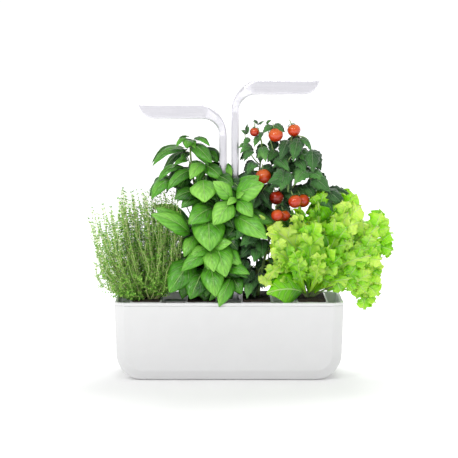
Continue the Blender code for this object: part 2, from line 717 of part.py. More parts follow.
def make_lamp(side, name):
    rise = LAMP_STEP if side > 0 else 0
    bottom = HEAD_BOTTOM + rise
    arm = loft(f"{name}_arm", [arm_section(*station) for station in arm_stations(side)], "brushed_aluminium")
    cut(arm, pocket_plate("pocket", side, bottom - OVERRUN, bottom + POCKET_DEPTH, 0))
    diffuser_top = bottom + DIFFUSER_THICKNESS
    pocket_plate(f"{name}_diffuser", side, bottom, diffuser_top, -SEAT_GAP, "diffuser")
    board_top = bottom + POCKET_DEPTH - SEAT_GAP
    board_low = board_top - LED_BOARD_THICKNESS
    board = pocket_plate(f"{name}_led_board", side, board_low, board_top, -SEAT_GAP, "circuit_board")
    start, end = pocket_range(side)
    for row in range(LED_ROWS):
        for column in range(LED_COLUMNS):
            x = start + (end - start) * (column + 0.5) / LED_COLUMNS
            y = (HEAD_DEPTH - 2 * POCKET_MARGIN) * ((row + 0.5) / LED_ROWS - 0.5)
            join(board, box(
                "led",
                (x - LED_SIZE / 2, y - LED_SIZE / 2, board_low - LED_HEIGHT),
                (x + LED_SIZE / 2, y + LED_SIZE / 2, board_low + LED_BOARD_THICKNESS / 2),
            ))


# Dry well and electronics bay

def make_well():
    well = box(
        "lamp_well", (-WELL_HALF_WIDTH, WELL_FRONT, WELL_BOTTOM), (WELL_HALF_WIDTH, WELL_REAR, WELL_TOP),
        "white_plastic",
    )
    seat = DECK_TOP + SEAT_GAP
    join(
        well,
        box("front_ear", (-WELL_HALF_WIDTH, WELL_FRONT - WELL_EAR, seat),
            (WELL_HALF_WIDTH, WELL_FRONT + WELL_WALL / 2, seat + WELL_EAR_THICKNESS)),
        box("bay", (-WELL_HALF_WIDTH, WELL_REAR - WELL_WALL / 2, seat),
            (WELL_HALF_WIDTH, BAY_REAR, WELL_TOP)),
    )
    cut(well, box(
        "bay_inside", (-WELL_HALF_WIDTH + BAY_WALL, WELL_REAR + BAY_WALL / 2, seat - OVERRUN),
        (WELL_HALF_WIDTH - BAY_WALL, BAY_REAR - BAY_WALL, WELL_TOP - BAY_WALL),
    ))
    for side in SIDES:
        slot = rounded_outline(
            MAST_THICKNESS / 2 + MAST_CLEARANCE,
            MAST_DEPTH / 2 + MAST_CLEARANCE,
            MAST_CORNER + MAST_CLEARANCE,
        )
        cut(well, loft("mast_slot", [
            flat_ring(slot, z, (side * MAST_X, 0)) for z in (WELL_BOTTOM + WELL_FLOOR, WELL_TOP + OVERRUN)
        ]))
        low, high = pad_corners(side, HOLE_CLEARANCE)
        cut(well, box("pad_pocket", (low[0], low[1] - OVERRUN, low[2]), high))
        low, high = pad_corners(side, 0)
        box("left_brake_pad" if side < 0 else "right_brake_pad", low, high, "rubber")
    cut(well, *rear_holes("bay_hole", REAR_HOLE_RADII, BAY_REAR - BAY_WALL - OVERRUN / 2, BAY_REAR + OVERRUN))


def pad_corners(side, spread):
    """A brake pad in its pocket behind a mast."""
    top = WELL_TOP - PAD_BELOW_TOP
    front = MAST_DEPTH / 2 + SEAT_GAP
    return (
        (side * MAST_X - PAD_WIDTH / 2 - spread, front, top - PAD_HEIGHT - spread),
        (side * MAST_X + PAD_WIDTH / 2 + spread, front + PAD_THICKNESS + spread, top + spread),
    )


def make_electronics():
    rear_inside = BAY_REAR - BAY_WALL
    board_rear = rear_inside - BOARD_SETBACK
    half = WELL_HALF_WIDTH - BAY_WALL - SEAT_GAP
    low = DECK_TOP + 2 * SEAT_GAP
    board = box(
        "control_board",
        (-half, board_rear - BOARD_THICKNESS, low),
        (half, board_rear, WELL_TOP - BAY_WALL - SEAT_GAP),
        "circuit_board",
    )
    button_back = rear_inside - SEAT_GAP - BUTTON_FLANGE_THICKNESS
    switch_rear = button_back - BUTTON_TRAVEL - SEAT_GAP
    inlet_front = rear_inside - SEAT_GAP - INLET_BODY
    board_middle = (low + WELL_TOP - BAY_WALL) / 2
    join(
        board,
        box("switch", (-REAR_FITTINGS_X - SWITCH_SIZE / 2, board_rear - BOARD_THICKNESS / 2,
                       REAR_FITTINGS_Z - SWITCH_SIZE / 2),
            (-REAR_FITTINGS_X + SWITCH_SIZE / 2, board_rear + SWITCH_THICKNESS,
             REAR_FITTINGS_Z + SWITCH_SIZE / 2)),
        rod_along_y("plunger", BUTTON_RADIUS / 2, board_rear + SWITCH_THICKNESS / 2, switch_rear,
                    (-REAR_FITTINGS_X, REAR_FITTINGS_Z), sides=8),
        box("chip", (REAR_FITTINGS_X - CHIP_SIZE / 2, board_rear - BOARD_THICKNESS - CHIP_THICKNESS,
                     board_middle - CHIP_SIZE / 2),
            (REAR_FITTINGS_X + CHIP_SIZE / 2, board_rear - BOARD_THICKNESS / 2,
             board_middle + CHIP_SIZE / 2)),
        rod_along_y("capacitor", CAPACITOR_RADIUS, board_rear - BOARD_THICKNESS - CAPACITOR_LENGTH,
                    board_rear - BOARD_THICKNESS / 2, (-REAR_FITTINGS_X, board_middle), sides=8),
    )
    make_inlet(inlet_front, rear_inside)
    make_button(button_back)


def make_inlet(front, rear_inside):
    centre = (REAR_FITTINGS_X, REAR_FITTINGS_Z)
    half = INLET_BODY / 2
    rear = BODY_DEPTH / 2 + INLET_PROUD
    inlet = box(
        "dc_inlet", (centre[0] - half, front, centre[1] - half),
        (centre[0] + half, rear_inside - SEAT_GAP, centre[1] + half), "grey_plastic",
    )
    join(inlet, rod_along_y("barrel", INLET_RADIUS, rear_inside - 2 * SEAT_GAP - BAY_WALL, rear, centre))
    cut(inlet, rod_along_y("bore", INLET_BORE_RADIUS, rear - INLET_BORE_DEPTH, rear + OVERRUN, centre))
    join(inlet, rod_along_y("contact_pin", INLET_PIN_RADIUS, rear - INLET_BORE_DEPTH - BAY_WALL,
                            rear - BAY_WALL, centre, sides=8))


def make_button(back):
    centre = (-REAR_FITTINGS_X, REAR_FITTINGS_Z)
    button = rod_along_y("mode_button", BUTTON_RADIUS, back, BODY_DEPTH / 2 + BUTTON_PROUD, centre,
                         "grey_plastic")
    join(button, rod_along_y("flange", BUTTON_RADIUS + BUTTON_FLANGE, back,
                             back + BUTTON_FLANGE_THICKNESS, centre))


# Water gauge

def make_gauge():
    low = FLOAT_REST - SEAT_GAP - GUIDE_WALL
    seat = GUIDE_TOP
    flange_top = seat + GUIDE_FLANGE_THICKNESS
    hole = GAUGE_STEM_RADIUS + HOLE_CLEARANCE
    inner = GUIDE_RADIUS - GUIDE_WALL
    profile = (
        (GUIDE_RADIUS, low), (GUIDE_RADIUS, seat), (GUIDE_RADIUS + GUIDE_FLANGE, seat),
        (GUIDE_RADIUS + GUIDE_FLANGE, flange_top), (hole, flange_top),
        (hole, seat), (inner, seat), (inner, low + GUIDE_WALL),
        (inner - GUIDE_LIP, low + GUIDE_WALL), (inner - GUIDE_LIP, low),
    )
    centre = (GAUGE_X, GAUGE_Y)
    loft("float_guide", [flat_ring(circle(radius), z, centre) for radius, z in profile], "white_plastic",
         closed_loop=True)
    float_radius = inner - FLOAT_CLEARANCE
    stem_top = flange_top + GAUGE_PROUD
    profile = (
        (float_radius, FLOAT_REST), (float_radius, FLOAT_REST + FLOAT_HEIGHT),
        (GAUGE_STEM_RADIUS, FLOAT_REST + FLOAT_HEIGHT), (GAUGE_STEM_RADIUS, stem_top),
    )
    loft("float_gauge", [flat_ring(circle(radius), z, centre) for radius, z in profile], "gauge_red")


# Plants

def crown_ring(half_width, half_length):
    """The outline of a plant's crown where it seats in the soil."""
    return [(half_width * a, half_length * b) for a, b in circle(1, 8)]


def frame_of(direction, facing):
    """Sideways and normal directions of a blade that runs along a direction and faces a way."""
    side = direction.cross(facing)
    if side.length < 1e-6:
        side = direction.cross(Vector((1, 0, 0)))
    side.normalize()
    return side, side.cross(direction).normalized()


def blade_shell(base, tip, half_width, thickness, facing, width_shares, arch, cup, ripple=0.0):
    """A leaf with its stalk as one closed shell: rings of four points from the stalk to the tip."""
    base, tip = Vector(base), Vector(tip)
    span = tip - base
    side, normal = frame_of(span.normalized(), facing)
    if normal.dot(facing) < 0:
        side, normal = -side, -normal
    points = []
    for order, (along, width) in enumerate(width_shares):
        middle = base + span * along + normal * (arch * span.length * 4 * along * (1 - along))
        lift = (cup + (ripple if order % 2 else -ripple)) * half_width * width
        half = max(thickness / 2 * (1 - along / 2), thickness / 4)
        points += [
            middle + side * half_width * width + normal * lift,
            middle + normal * half,
            middle - side * half_width * width + normal * lift,
            middle - normal * half,
        ]
    rings = len(width_shares)
    faces = [(3, 2, 1), (3, 1, 0)]
    for low in range(0, (rings - 1) * 4, 4):
        edge_one, top, edge_two, under = range(low, low + 4)
        # Every triangle pair is split from the edge's lower point, so a waved blade keeps its thickness
        faces += [
            (edge_one, top, top + 4), (edge_one, top + 4, edge_one + 4),
            (edge_two, top + 4, top), (edge_two, edge_two + 4, top + 4),
            (edge_two, under, under + 4), (edge_two, under + 4, edge_two + 4),
            (edge_one, under + 4, under), (edge_one, edge_one + 4, under + 4),
        ]
    last = (rings - 1) * 4
    end = len(points)
    points.append(tip)
    faces += [(last + point, last + (point + 1) % 4, end) for point in range(4)]
    return points, faces


def tube_shell(path, radii, sides=4):
    """A stem along a path, with a radius at each of its points."""
    points = []
    side = None
    for order, point in enumerate(path):
        direction = (path[min(order + 1, len(path) - 1)] - path[max(order - 1, 0)]).normalized()
        # The first ring's sideways direction is carried along, so the tube doesn't twist
        side = frame_of(direction, side.cross(direction) if side else Vector((0, -1, 0.2)))[0]
        normal = side.cross(direction)
        for x, y in circle(1, sides):
            points.append(point + side * (x * radii[order]) + normal * (y * radii[order]))
    return points, ring_faces(len(path), sides)


def along_path(path, share):
    """The point at a share of a path's points."""
    place = share * (len(path) - 1)
    index = min(int(place), len(path) - 2)
    return path[index].lerp(path[index + 1], place - index)


class Foliage:
    """Collects the shells of one plant and leaves out what would touch anything else."""

    def __init__(self, obstacles, zones):
        self.obstacles = obstacles
        self.zones = zones
        self.points = []
        self.faces = []

    def is_clear(self, points, faces, gap=LEAF_GAP):
        for low, high in self.zones:
            if any(all(low[k] < point[k] < high[k] for k in range(3)) for point in points):
                return False
        tree = BVHTree.FromPolygons([tuple(point) for point in points], faces)
        for obstacle in self.obstacles:
            if tree.overlap(obstacle):
                return False
            if any(obstacle.find_nearest(point, gap)[0] is not None for point in points):
                return False
        return True

    def add(self, shell):
        points, faces = shell
        faces = outward(points, faces)
        first = len(self.points)
        self.points += points
        self.faces += [tuple(first + point for point in face) for face in faces]

    def grow(self, build, sizes=(1, 0.85, 0.7, 0.55)):
        """Adds a piece at the largest size that clears the neighbours."""
        for size in sizes:
            shell = build(size)
            if self.is_clear(*shell):
                self.add(shell)
                return True
        return False

    def finish(self, name, crown, heart, x, finish):
        """Joins the shells with the crown that seats in the soil and rises to a heart of some height."""
        plant = add_object(name, self.points, self.faces, finish)
        top = SOIL_TOP + SOIL_MOUND + 2 * SEAT_GAP
        half_width, half_length = crown
        narrow = crown_ring(half_width * HEART_SHARE, half_length * HEART_SHARE)
        combine(plant, loft("clump", [
            flat_ring(crown_ring(*crown), CROWN_BOTTOM, (x, 0)), flat_ring(crown_ring(*crown), top, (x, 0)),
            flat_ring(narrow, top + heart, (x, 0)),
        ]), "UNION", overlapping_shells=True)
        keep_outer_skin(plant)
        return plant


def tree_of(target):
    graph = bpy.context.evaluated_depsgraph_get()
    return BVHTree.FromObject(target, graph)


def keep_out_zones():
    """Boxes that moving pieces sweep: masts, heads, flap and gauge."""
    zones = []
    margin = LEAF_GAP
    mast = (WELL_HALF_WIDTH - WELL_WALL + margin, MAST_DEPTH / 2 + margin)
    zones.append(((-mast[0], -mast[1], WELL_TOP), (mast[0], mast[1], HEAD_TOP + LAMP_STEP)))
    for side, down in zip(SIDES, LAMP_DOWN):
        low = HEAD_BOTTOM + (LAMP_STEP if side > 0 else 0) - down - margin
        ends = sorted((0, side * (HEAD_REACH + margin)))
        zones.append((
            (ends[0], -HEAD_DEPTH / 2 - margin, low),
            (ends[1], HEAD_DEPTH / 2 + margin, HEAD_TOP + LAMP_STEP + HEAD_THICKNESS),
        ))
        inner = MAST_GAP / 2 + MAST_THICKNESS
        ends = sorted((0, side * (inner + BEND_RADIUS / 3)))
        zones.append((
            (ends[0], -HEAD_DEPTH / 2, low - BEND_RADIUS / 2), (ends[1], HEAD_DEPTH / 2, low),
        ))
    half = HINGE_HALF_WIDTH + HINGE_EAR + 2 * margin
    flap_length = PORT_LENGTH + 2 * PORT_COLLAR + 2 * FLAP_OVERHANG + HINGE_BEHIND_FLAP + margin
    zones.append((
        (PORT_X - half, hinge_y() - flap_length - FLAP_OVERHANG, DECK_TOP),
        (PORT_X + half, hinge_y() + HINGE_BARREL_RADIUS + FLAP_THICKNESS + margin,
         hinge_z() + flap_length + margin),
    ))
    reach = GAUGE_STEM_RADIUS * 2
    zones.append((
        (GAUGE_X - reach, GAUGE_Y - reach, DECK_TOP),
        (GAUGE_X + reach, GAUGE_Y + reach, DECK_TOP + GAUGE_TRAVEL + 4 * GAUGE_PROUD),
    ))
    return zones


def placed(shares, x, height):
    """A place given as shares of a plant's height, from the middle of its pod at the rim."""
    return Vector((x + shares[0] * height, shares[1] * height, BODY_HEIGHT + shares[2] * height))


def facing_of(front):
    """From straight up at 0 to the front at 1, or to the back at -1."""
    return Vector((0, -front, max(1 - abs(front), 0.25))).normalized()


BASIL_BLADE_SHARES = ((0, 0.08), (0.16, 0.22), (0.45, 1.0), (0.78, 0.66))
BASIL_STEM_SHARES = {
    "tall": ((0, 0, 0), (-0.01, -0.02, 0.22), (-0.04, -0.02, 0.60), (-0.07, 0, 0.94)),
    "front": ((0.01, -0.03, 0), (0.06, -0.10, 0.17), (0.14, -0.19, 0.43), (0.20, -0.25, 0.63)),
    "low": ((0, -0.05, 0), (0.01, -0.13, 0.12), (0.04, -0.21, 0.24), (0.05, -0.24, 0.33)),
    "left": ((-0.01, 0, 0), (-0.08, -0.02, 0.17), (-0.14, -0.03, 0.38), (-0.18, 0, 0.66)),
    "rear": ((0, 0.04, 0), (0.01, 0.12, 0.28), (0.03, 0.15, 0.56), (0.06, 0.14, 0.80)),
}
# Stem, share along it, tip (across, deep, high), half width, and how far it faces the front
BASIL_LEAF_SHARES = (
    ("tall", 1.00, (-0.16, -0.02, 0.94), 0.035, 0.3), ("tall", 1.00, (0.05, 0.01, 0.95), 0.035, 0.3),
    ("tall", 1.00, (-0.09, -0.02, 1.00), 0.030, 0.6), ("tall", 0.96, (0.05, -0.08, 0.84), 0.055, 0.6),
    ("tall", 0.94, (-0.31, -0.04, 0.82), 0.048, 0.3), ("tall", 0.86, (-0.29, -0.07, 0.72), 0.048, 0.3),
    ("tall", 0.88, (-0.06, -0.14, 0.73), 0.050, 0.7), ("tall", 0.78, (-0.20, -0.15, 0.68), 0.060, 0.6),
    ("tall", 0.84, (0.14, -0.12, 0.72), 0.055, 0.5), ("tall", 0.74, (0.03, -0.22, 0.59), 0.105, 0.95),
    ("tall", 0.60, (0.05, -0.25, 0.30), 0.115, 0.95), ("tall", 0.62, (-0.07, -0.16, 0.48), 0.065, 0.7),
    ("rear", 0.98, (0.12, 0.13, 0.85), 0.050, -0.3), ("rear", 0.94, (0.18, 0.14, 0.81), 0.040, -0.6),
    ("left", 0.98, (-0.32, -0.03, 0.61), 0.060, 0.5), ("left", 0.64, (-0.31, -0.25, 0.51), 0.085, 0.75),
    ("left", 0.50, (-0.10, -0.14, 0.27), 0.048, 0.7),
    ("front", 0.98, (0.08, -0.24, 0.72), 0.050, 0.8), ("front", 0.98, (0.37, -0.20, 0.70), 0.078, 0.8),
    ("front", 0.96, (0.07, -0.31, 0.47), 0.072, 0.9), ("front", 0.96, (0.31, -0.30, 0.53), 0.055, 0.8),
    ("front", 0.72, (0.40, -0.24, 0.40), 0.075, 0.8), ("front", 0.50, (0.25, -0.20, 0.24), 0.042, 0.6),
    ("low", 0.98, (-0.07, -0.26, 0.28), 0.045, 0.8), ("low", 0.92, (-0.12, -0.28, 0.19), 0.062, 0.8),
    ("low", 1.00, (0.07, -0.32, 0.20), 0.060, 0.9), ("low", 0.97, (0.15, -0.30, 0.16), 0.095, 0.9),
    ("low", 0.60, (-0.19, -0.25, 0.07), 0.092, 0.85), ("low", 0.65, (-0.06, -0.28, 0.035), 0.085, 0.9),
    ("low", 0.72, (0.08, -0.29, 0.04), 0.080, 0.9), ("low", 0.60, (0.12, -0.325, -0.01), 0.050, 0.9),
    ("low", 0.55, (0.29, -0.20, 0.17), 0.045, 0.6),
    ("rear", 0.80, (-0.07, 0.29, 0.76), 0.065, -0.7), ("rear", 0.70, (0.12, 0.30, 0.62), 0.070, -0.7),
    ("rear", 0.55, (-0.12, 0.29, 0.52), 0.075, -0.7), ("rear", 0.45, (0.06, 0.30, 0.36), 0.080, -0.8),
    ("rear", 0.30, (-0.10, 0.28, 0.20), 0.075, -0.8), ("rear", 0.30, (0.16, 0.26, 0.22), 0.060, -0.6),
    ("tall", 0.98, (-0.09, -0.15, 0.94), 0.030, 0.6), ("tall", 0.92, (-0.17, -0.1, 0.83), 0.020, 0.5),
    ("left", 0.98, (-0.31, -0.15, 0.62), 0.045, 0.45), ("tall", 0.70, (-0.17, -0.17, 0.62), 0.050, 0.6),
    ("tall", 0.68, (-0.12, -0.17, 0.57), 0.040, 0.6), ("tall", 0.66, (-0.06, -0.15, 0.54), 0.035, 0.6),
    ("front", 0.98, (0.16, -0.27, 0.6), 0.020, 0.75), ("front", 0.98, (0.26, -0.27, 0.67), 0.020, 0.75),
    ("low", 0.98, (0.19, -0.27, 0.37), 0.035, 0.75), ("front", 0.30, (0.25, -0.23, 0.05), 0.045, 0.8),
    ("rear", 0.94, (0.13, 0.12, 0.66), 0.045, 0.6), ("tall", 0.68, (0.09, -0.12, 0.58), 0.045, 0.6),
    ("tall", 0.48, (0.16, -0.13, 0.42), 0.050, 0.7), ("tall", 0.44, (-0.08, -0.12, 0.33), 0.055, 0.7),
    ("tall", 0.34, (0.18, -0.12, 0.26), 0.055, 0.7), ("tall", 0.28, (-0.15, -0.1, 0.19), 0.055, 0.7),
    ("tall", 0.24, (0.19, -0.1, 0.11), 0.055, 0.7), ("tall", 0.14, (-0.11, -0.1, 0.06), 0.050, 0.8),
    ("front", 0.70, (0.13, -0.18, 0.37), 0.035, 0.7),
)

TOMATO_BLADE_SHARES = ((0, 0.10), (0.18, 0.18), (0.42, 1.0), (0.76, 0.70))
TOMATO_STEM_SHARES = {
    "main": ((0, 0, 0), (0.06, -0.01, 0.18), (0.09, 0, 0.40), (0.16, 0.02, 0.66), (0.19, 0.02, 0.87)),
    "left": ((0, 0.02, 0), (0.01, 0.05, 0.25), (0.0, 0.05, 0.54), (0.03, 0.03, 0.78), (0.03, 0.02, 0.96)),
    "right": ((0.06, -0.01, 0.18), (0.19, 0.07, 0.40), (0.32, 0.10, 0.58), (0.41, 0.10, 0.61)),
    "low": ((-0.01, -0.03, 0), (-0.04, -0.11, 0.11), (-0.06, -0.14, 0.18)),
}
TOMATO_LEAF_SHARES = (
    ("main", 0.78, (0.11, -0.15, 0.71), 0.075, 0.9), ("main", 0.76, (0.32, -0.07, 0.71), 0.060, 0.7),
    ("main", 0.98, (0.19, -0.09, 0.76), 0.052, 0.8), ("main", 0.94, (0.13, -0.05, 0.78), 0.045, 0.6),
    ("main", 0.94, (0.32, -0.02, 0.72), 0.055, 0.5), ("main", 0.84, (0.09, -0.06, 0.80), 0.045, 0.6),
    ("main", 0.50, (0.26, -0.03, 0.34), 0.060, 0.7), ("main", 0.38, (0.13, -0.09, 0.17), 0.050, 0.7),
    ("main", 0.34, (-0.03, -0.12, 0.19), 0.060, 0.8),
    ("right", 0.90, (0.42, 0.02, 0.66), 0.062, 0.6), ("right", 0.98, (0.49, 0.02, 0.48), 0.062, 0.7),
    ("right", 0.92, (0.38, -0.02, 0.50), 0.055, 0.7),
    ("left", 0.72, (0.0, -0.06, 0.76), 0.048, 0.7), ("left", 0.78, (-0.085, 0.02, 0.83), 0.040, 0.5),
    ("left", 0.62, (-0.055, 0.08, 0.68), 0.042, 0.5), ("left", 0.98, (0.11, 0.04, 0.96), 0.030, 0.3),
    ("left", 0.90, (-0.08, 0.03, 0.91), 0.030, 0.4), ("left", 1.00, (0.01, 0.0, 1.00), 0.022, 0.5),
    ("left", 0.46, (-0.045, -0.12, 0.67), 0.045, 0.5), ("left", 0.42, (0.0, -0.10, 0.51), 0.055, 0.8),
    ("left", 0.36, (-0.08, -0.12, 0.29), 0.066, 0.9),
    ("low", 0.95, (-0.05, -0.22, 0.02), 0.050, 0.9), ("low", 0.80, (0.04, -0.18, 0.06), 0.055, 0.8),
    ("left", 0.50, (-0.05, 0.26, 0.52), 0.070, -0.7), ("left", 0.74, (0.05, 0.26, 0.72), 0.070, -0.7),
    ("main", 0.60, (0.18, 0.26, 0.58), 0.070, -0.7), ("main", 0.40, (0.08, 0.27, 0.34), 0.070, -0.7),
    ("right", 0.55, (0.28, 0.27, 0.40), 0.070, -0.7), ("left", 0.25, (-0.06, 0.24, 0.24), 0.060, -0.7),
    ("main", 0.98, (0.31, -0.09, 0.83), 0.020, 0.45), ("main", 0.78, (0.06, -0.21, 0.67), 0.065, 0.8),
    ("main", 0.82, (0.13, -0.21, 0.62), 0.060, 0.85), ("main", 0.86, (0.21, -0.17, 0.65), 0.050, 0.75),
    ("right", 0.88, (0.41, -0.17, 0.61), 0.050, 0.75), ("right", 0.96, (0.5, -0.14, 0.52), 0.040, 0.75),
    ("right", 0.90, (0.43, -0.12, 0.49), 0.040, 0.75), ("left", 0.90, (-0.09, -0.12, 0.82), 0.025, 0.7),
    ("left", 0.98, (0.04, -0.11, 0.93), 0.025, 0.7), ("left", 0.98, (0.15, -0.11, 0.94), 0.025, 0.7),
    ("left", 0.62, (0.06, -0.14, 0.54), 0.035, 0.75), ("left", 0.48, (-0.07, -0.14, 0.42), 0.040, 0.75),
    ("main", 0.38, (0.03, -0.15, 0.24), 0.050, 0.8), ("main", 0.46, (0.13, -0.12, 0.31), 0.045, 0.75),
    ("main", 0.54, (0.18, -0.12, 0.44), 0.035, 0.75), ("main", 0.72, (0.2, -0.09, 0.59), 0.035, 0.75),
    ("main", 0.98, (0.26, -0.02, 0.8), 0.035, 0.7), ("main", 0.86, (0.24, -0.03, 0.73), 0.045, 0.7),
    ("left", 0.68, (-0.05, -0.05, 0.58), 0.045, 0.7), ("main", 0.58, (0, -0.05, 0.45), 0.045, 0.75),
    ("main", 0.46, (0.03, -0.05, 0.35), 0.045, 0.75), ("main", 0.34, (0, -0.03, 0.25), 0.045, 0.75),
    ("main", 0.24, (0.01, -0.03, 0.13), 0.040, 0.8),
)
# Fruit centre (across, deep, high), radius, and the stem and share along it that carry it
FRUIT_SHARES = (
    ((-0.012, -0.035, 0.935), 0.029, "left", 0.94), ((0.105, -0.075, 0.92), 0.044, "left", 0.86),
    ((0.208, -0.045, 0.945), 0.040, "main", 0.99), ((0.036, -0.105, 0.690), 0.047, "left", 0.66),
    ((0.110, -0.090, 0.570), 0.043, "main", 0.66), ((0.212, -0.175, 0.555), 0.041, "main", 0.62),
    ((0.258, -0.085, 0.552), 0.041, "main", 0.60), ((0.112, -0.185, 0.478), 0.037, "main", 0.55),
    ((0.156, -0.110, 0.470), 0.034, "main", 0.52),
)

LETTUCE_BLADE_SHARES = ((0, 0.14), (0.32, 0.28), (0.52, 0.86), (0.72, 1.0), (0.91, 0.66))
LETTUCE_LEAF_SHARES = (
    # Tip (across, deep, high), half width, facing and how far the leaf arches
    ((-0.41, -0.42, 0.1), 0.095, 0.85, 0.26), ((-0.43, -0.4, 0.16), 0.055, 0.8, 0.26),
    ((-0.32, -0.38, 0.46), 0.090, 0.8, 0.10), ((-0.34, -0.37, 0.63), 0.105, 0.8, 0.10),
    ((-0.46, -0.33, 0.76), 0.065, 0.75, 0.10), ((-0.17, -0.31, 0.8), 0.090, 0.8, 0.10),
    ((0.01, -0.22, 0.95), 0.105, 0.8, 0.10), ((-0.02, -0.38, 0.65), 0.105, 0.85, 0.10),
    ((0.04, -0.42, 0.41), 0.065, 0.85, 0.16), ((-0.13, -0.42, 0.43), 0.070, 0.85, 0.16),
    ((0.29, -0.14, 0.88), 0.105, 0.75, 0.10), ((0.33, -0.29, 0.83), 0.130, 0.8, 0.10),
    ((0.63, -0.22, 0.69), 0.105, 0.75, 0.10), ((0.67, -0.29, 0.52), 0.110, 0.8, 0.10),
    ((0.7, -0.15, 0.42), 0.055, 0.7, 0.16), ((0.56, -0.36, 0.4), 0.095, 0.8, 0.16),
    ((0.6, -0.31, 0.26), 0.065, 0.75, 0.16), ((0.57, -0.4, 0.13), 0.095, 0.8, 0.26),
    ((0.5, -0.37, -0.02), 0.080, 0.8, 0.26), ((0.18, -0.09, 0.87), 0.105, 0.75, 0.10),
    ((0.23, -0.25, 0.6), 0.115, 0.8, 0.10), ((0.19, -0.35, 0.39), 0.095, 0.8, 0.16),
    ((-0.26, -0.33, 0.19), 0.050, 0.8, 0.26), ((0.11, -0.12, 0.75), 0.125, 0.8, 0.10),
    ((-0.17, -0.1, 0.66), 0.105, 0.8, 0.10), ((0.45, -0.1, 0.55), 0.125, 0.8, 0.10),
    ((0.32, -0.16, 0.24), 0.090, 0.8, 0.16), ((-0.07, -0.16, 0.47), 0.095, 0.8, 0.10),
    ((-0.40, 0.36, 0.48), 0.100, -0.7, 0.12), ((-0.20, 0.38, 0.66), 0.100, -0.7, 0.10),
    ((0.02, 0.36, 0.80), 0.105, -0.7, 0.10), ((0.28, 0.36, 0.76), 0.110, -0.7, 0.10),
    ((0.50, 0.34, 0.60), 0.105, -0.6, 0.12), ((0.62, 0.24, 0.44), 0.100, -0.6, 0.14),
    ((0.44, 0.40, 0.34), 0.100, -0.7, 0.16), ((0.12, 0.44, 0.40), 0.100, -0.8, 0.16),
    ((-0.24, 0.40, 0.28), 0.095, -0.8, 0.16), ((0.50, 0.32, 0.08), 0.085, -0.7, 0.26),
    ((0.00, 0.02, 0.82), 0.090, 0.4, 0.06), ((0.30, 0.06, 0.84), 0.090, 0.3, 0.06),
    ((-0.22, 0.06, 0.62), 0.085, 0.4, 0.10), ((0.60, 0.06, 0.66), 0.095, 0.4, 0.10),
    ((0.68, 0.08, 0.40), 0.085, 0.3, 0.14), ((-0.30, 0.10, 0.34), 0.080, 0.3, 0.16),
    ((-0.36, 0.32, 0.06), 0.080, -0.8, 0.26), ((0.10, 0.43, 0.14), 0.090, -0.8, 0.26),
)
THYME_RING_SHARES = (0, 0.20, 0.42, 0.64, 0.86)
THYME_SAG_SHARE = 0.18         # how far a sprig bulges outwards
THYME_RIM_DROP_SHARE = 0.30    # how much shorter the outermost sprigs are
THYME_RAGGED_SHARE = 0.12      # how uneven the crown is
THYME_BEAT = 2.3


def grow_leafy_plant(foliage, x, height, stems, leaves, blade_shares, stem_radius, thickness,
                     arch=0.10, cup=0.25):
    paths = {}
    for stem, shares in stems.items():
        path = paths[stem] = [placed(point, x, height) for point in shares]
        radii = [stem_radius * (1 - 0.45 * order / (len(path) - 1)) for order in range(len(path))]
        foliage.add(tube_shell(path, radii))
    for stem, share, tip, half_width, front in leaves:
        base = along_path(paths[stem], min(share, 0.985))
        target = placed(tip, x, height)

        def build(size, base=base, target=target, half_width=half_width, front=front):
            return blade_shell(
                base, base.lerp(target, size), half_width * height * size, thickness,
                facing_of(front), blade_shares, arch, cup,
            )

        foliage.grow(build)
    return paths


def make_fruits(x):
    """The tomatoes, each a ball with a dimple where its stalk sits."""
    ring_shares = ((0.30, 0.93), (0.86, 0.55), (0.97, -0.25), (0.45, -0.90))
    for index, (centre, radius, _, _) in enumerate(FRUIT_SHARES, 1):
        middle = placed(centre, x, TOMATO_HEIGHT)
        size = radius * TOMATO_HEIGHT
        rings = [
            flat_ring(circle(size * wide, 9), middle.z + size * high, (middle.x, middle.y))
            for wide, high in ring_shares
        ]
        loft(f"tomato_{index}", rings, "tomato_skin")


def add_trusses(foliage, paths, x):
    """Stalk and star-shaped calyx of each tomato, just clear of the fruit."""
    for centre, radius, stem, share in FRUIT_SHARES:
        size = radius * TOMATO_HEIGHT
        middle = placed(centre, x, TOMATO_HEIGHT)
        calyx = middle + Vector((0, 0, size * 0.93 + SEAT_GAP))
        above = calyx + Vector((0, 0, size * 0.5))
        for lower in (0, 0.05, 0.10, 0.15, 0.20, -0.05, -0.10):
            start = along_path(paths[stem], min(share - lower, 0.98))
            knee = start.lerp(above, 0.65)
            knee.z = above.z + size * 0.4
            stalk = tube_shell(
                [start, knee, above, calyx + Vector((0, 0, TRUSS_RADIUS * 0.7))],
                [TRUSS_RADIUS] * 4, sides=3,
            )
            if foliage.is_clear(*stalk, gap=SEAT_GAP / 2):
                break
        foliage.add(stalk)
        outer = []
        for point in range(10):
            angle = math.tau * point / 10
            reach = size * (0.62 if point % 2 == 0 else 0.22)
            outer.append(calyx + Vector((
                reach * math.cos(angle), reach * math.sin(angle), TRUSS_RADIUS * 0.4,
            )))
        top = [point + Vector((0, 0, TRUSS_RADIUS * 0.6)) for point in outer]
        foliage.add((outer + top, ring_faces(2, 10)))


def make_basil(x, obstacles, zones):
    foliage = Foliage(obstacles, zones)
    grow_leafy_plant(foliage, x, BASIL_HEIGHT, BASIL_STEM_SHARES, BASIL_LEAF_SHARES, BASIL_BLADE_SHARES,
                     BASIL_STEM_RADIUS, BASIL_LEAF_THICKNESS)
    return foliage.finish("basil_plant", BASIL_CROWN, CROWN_HEART, x, "basil_leaf")


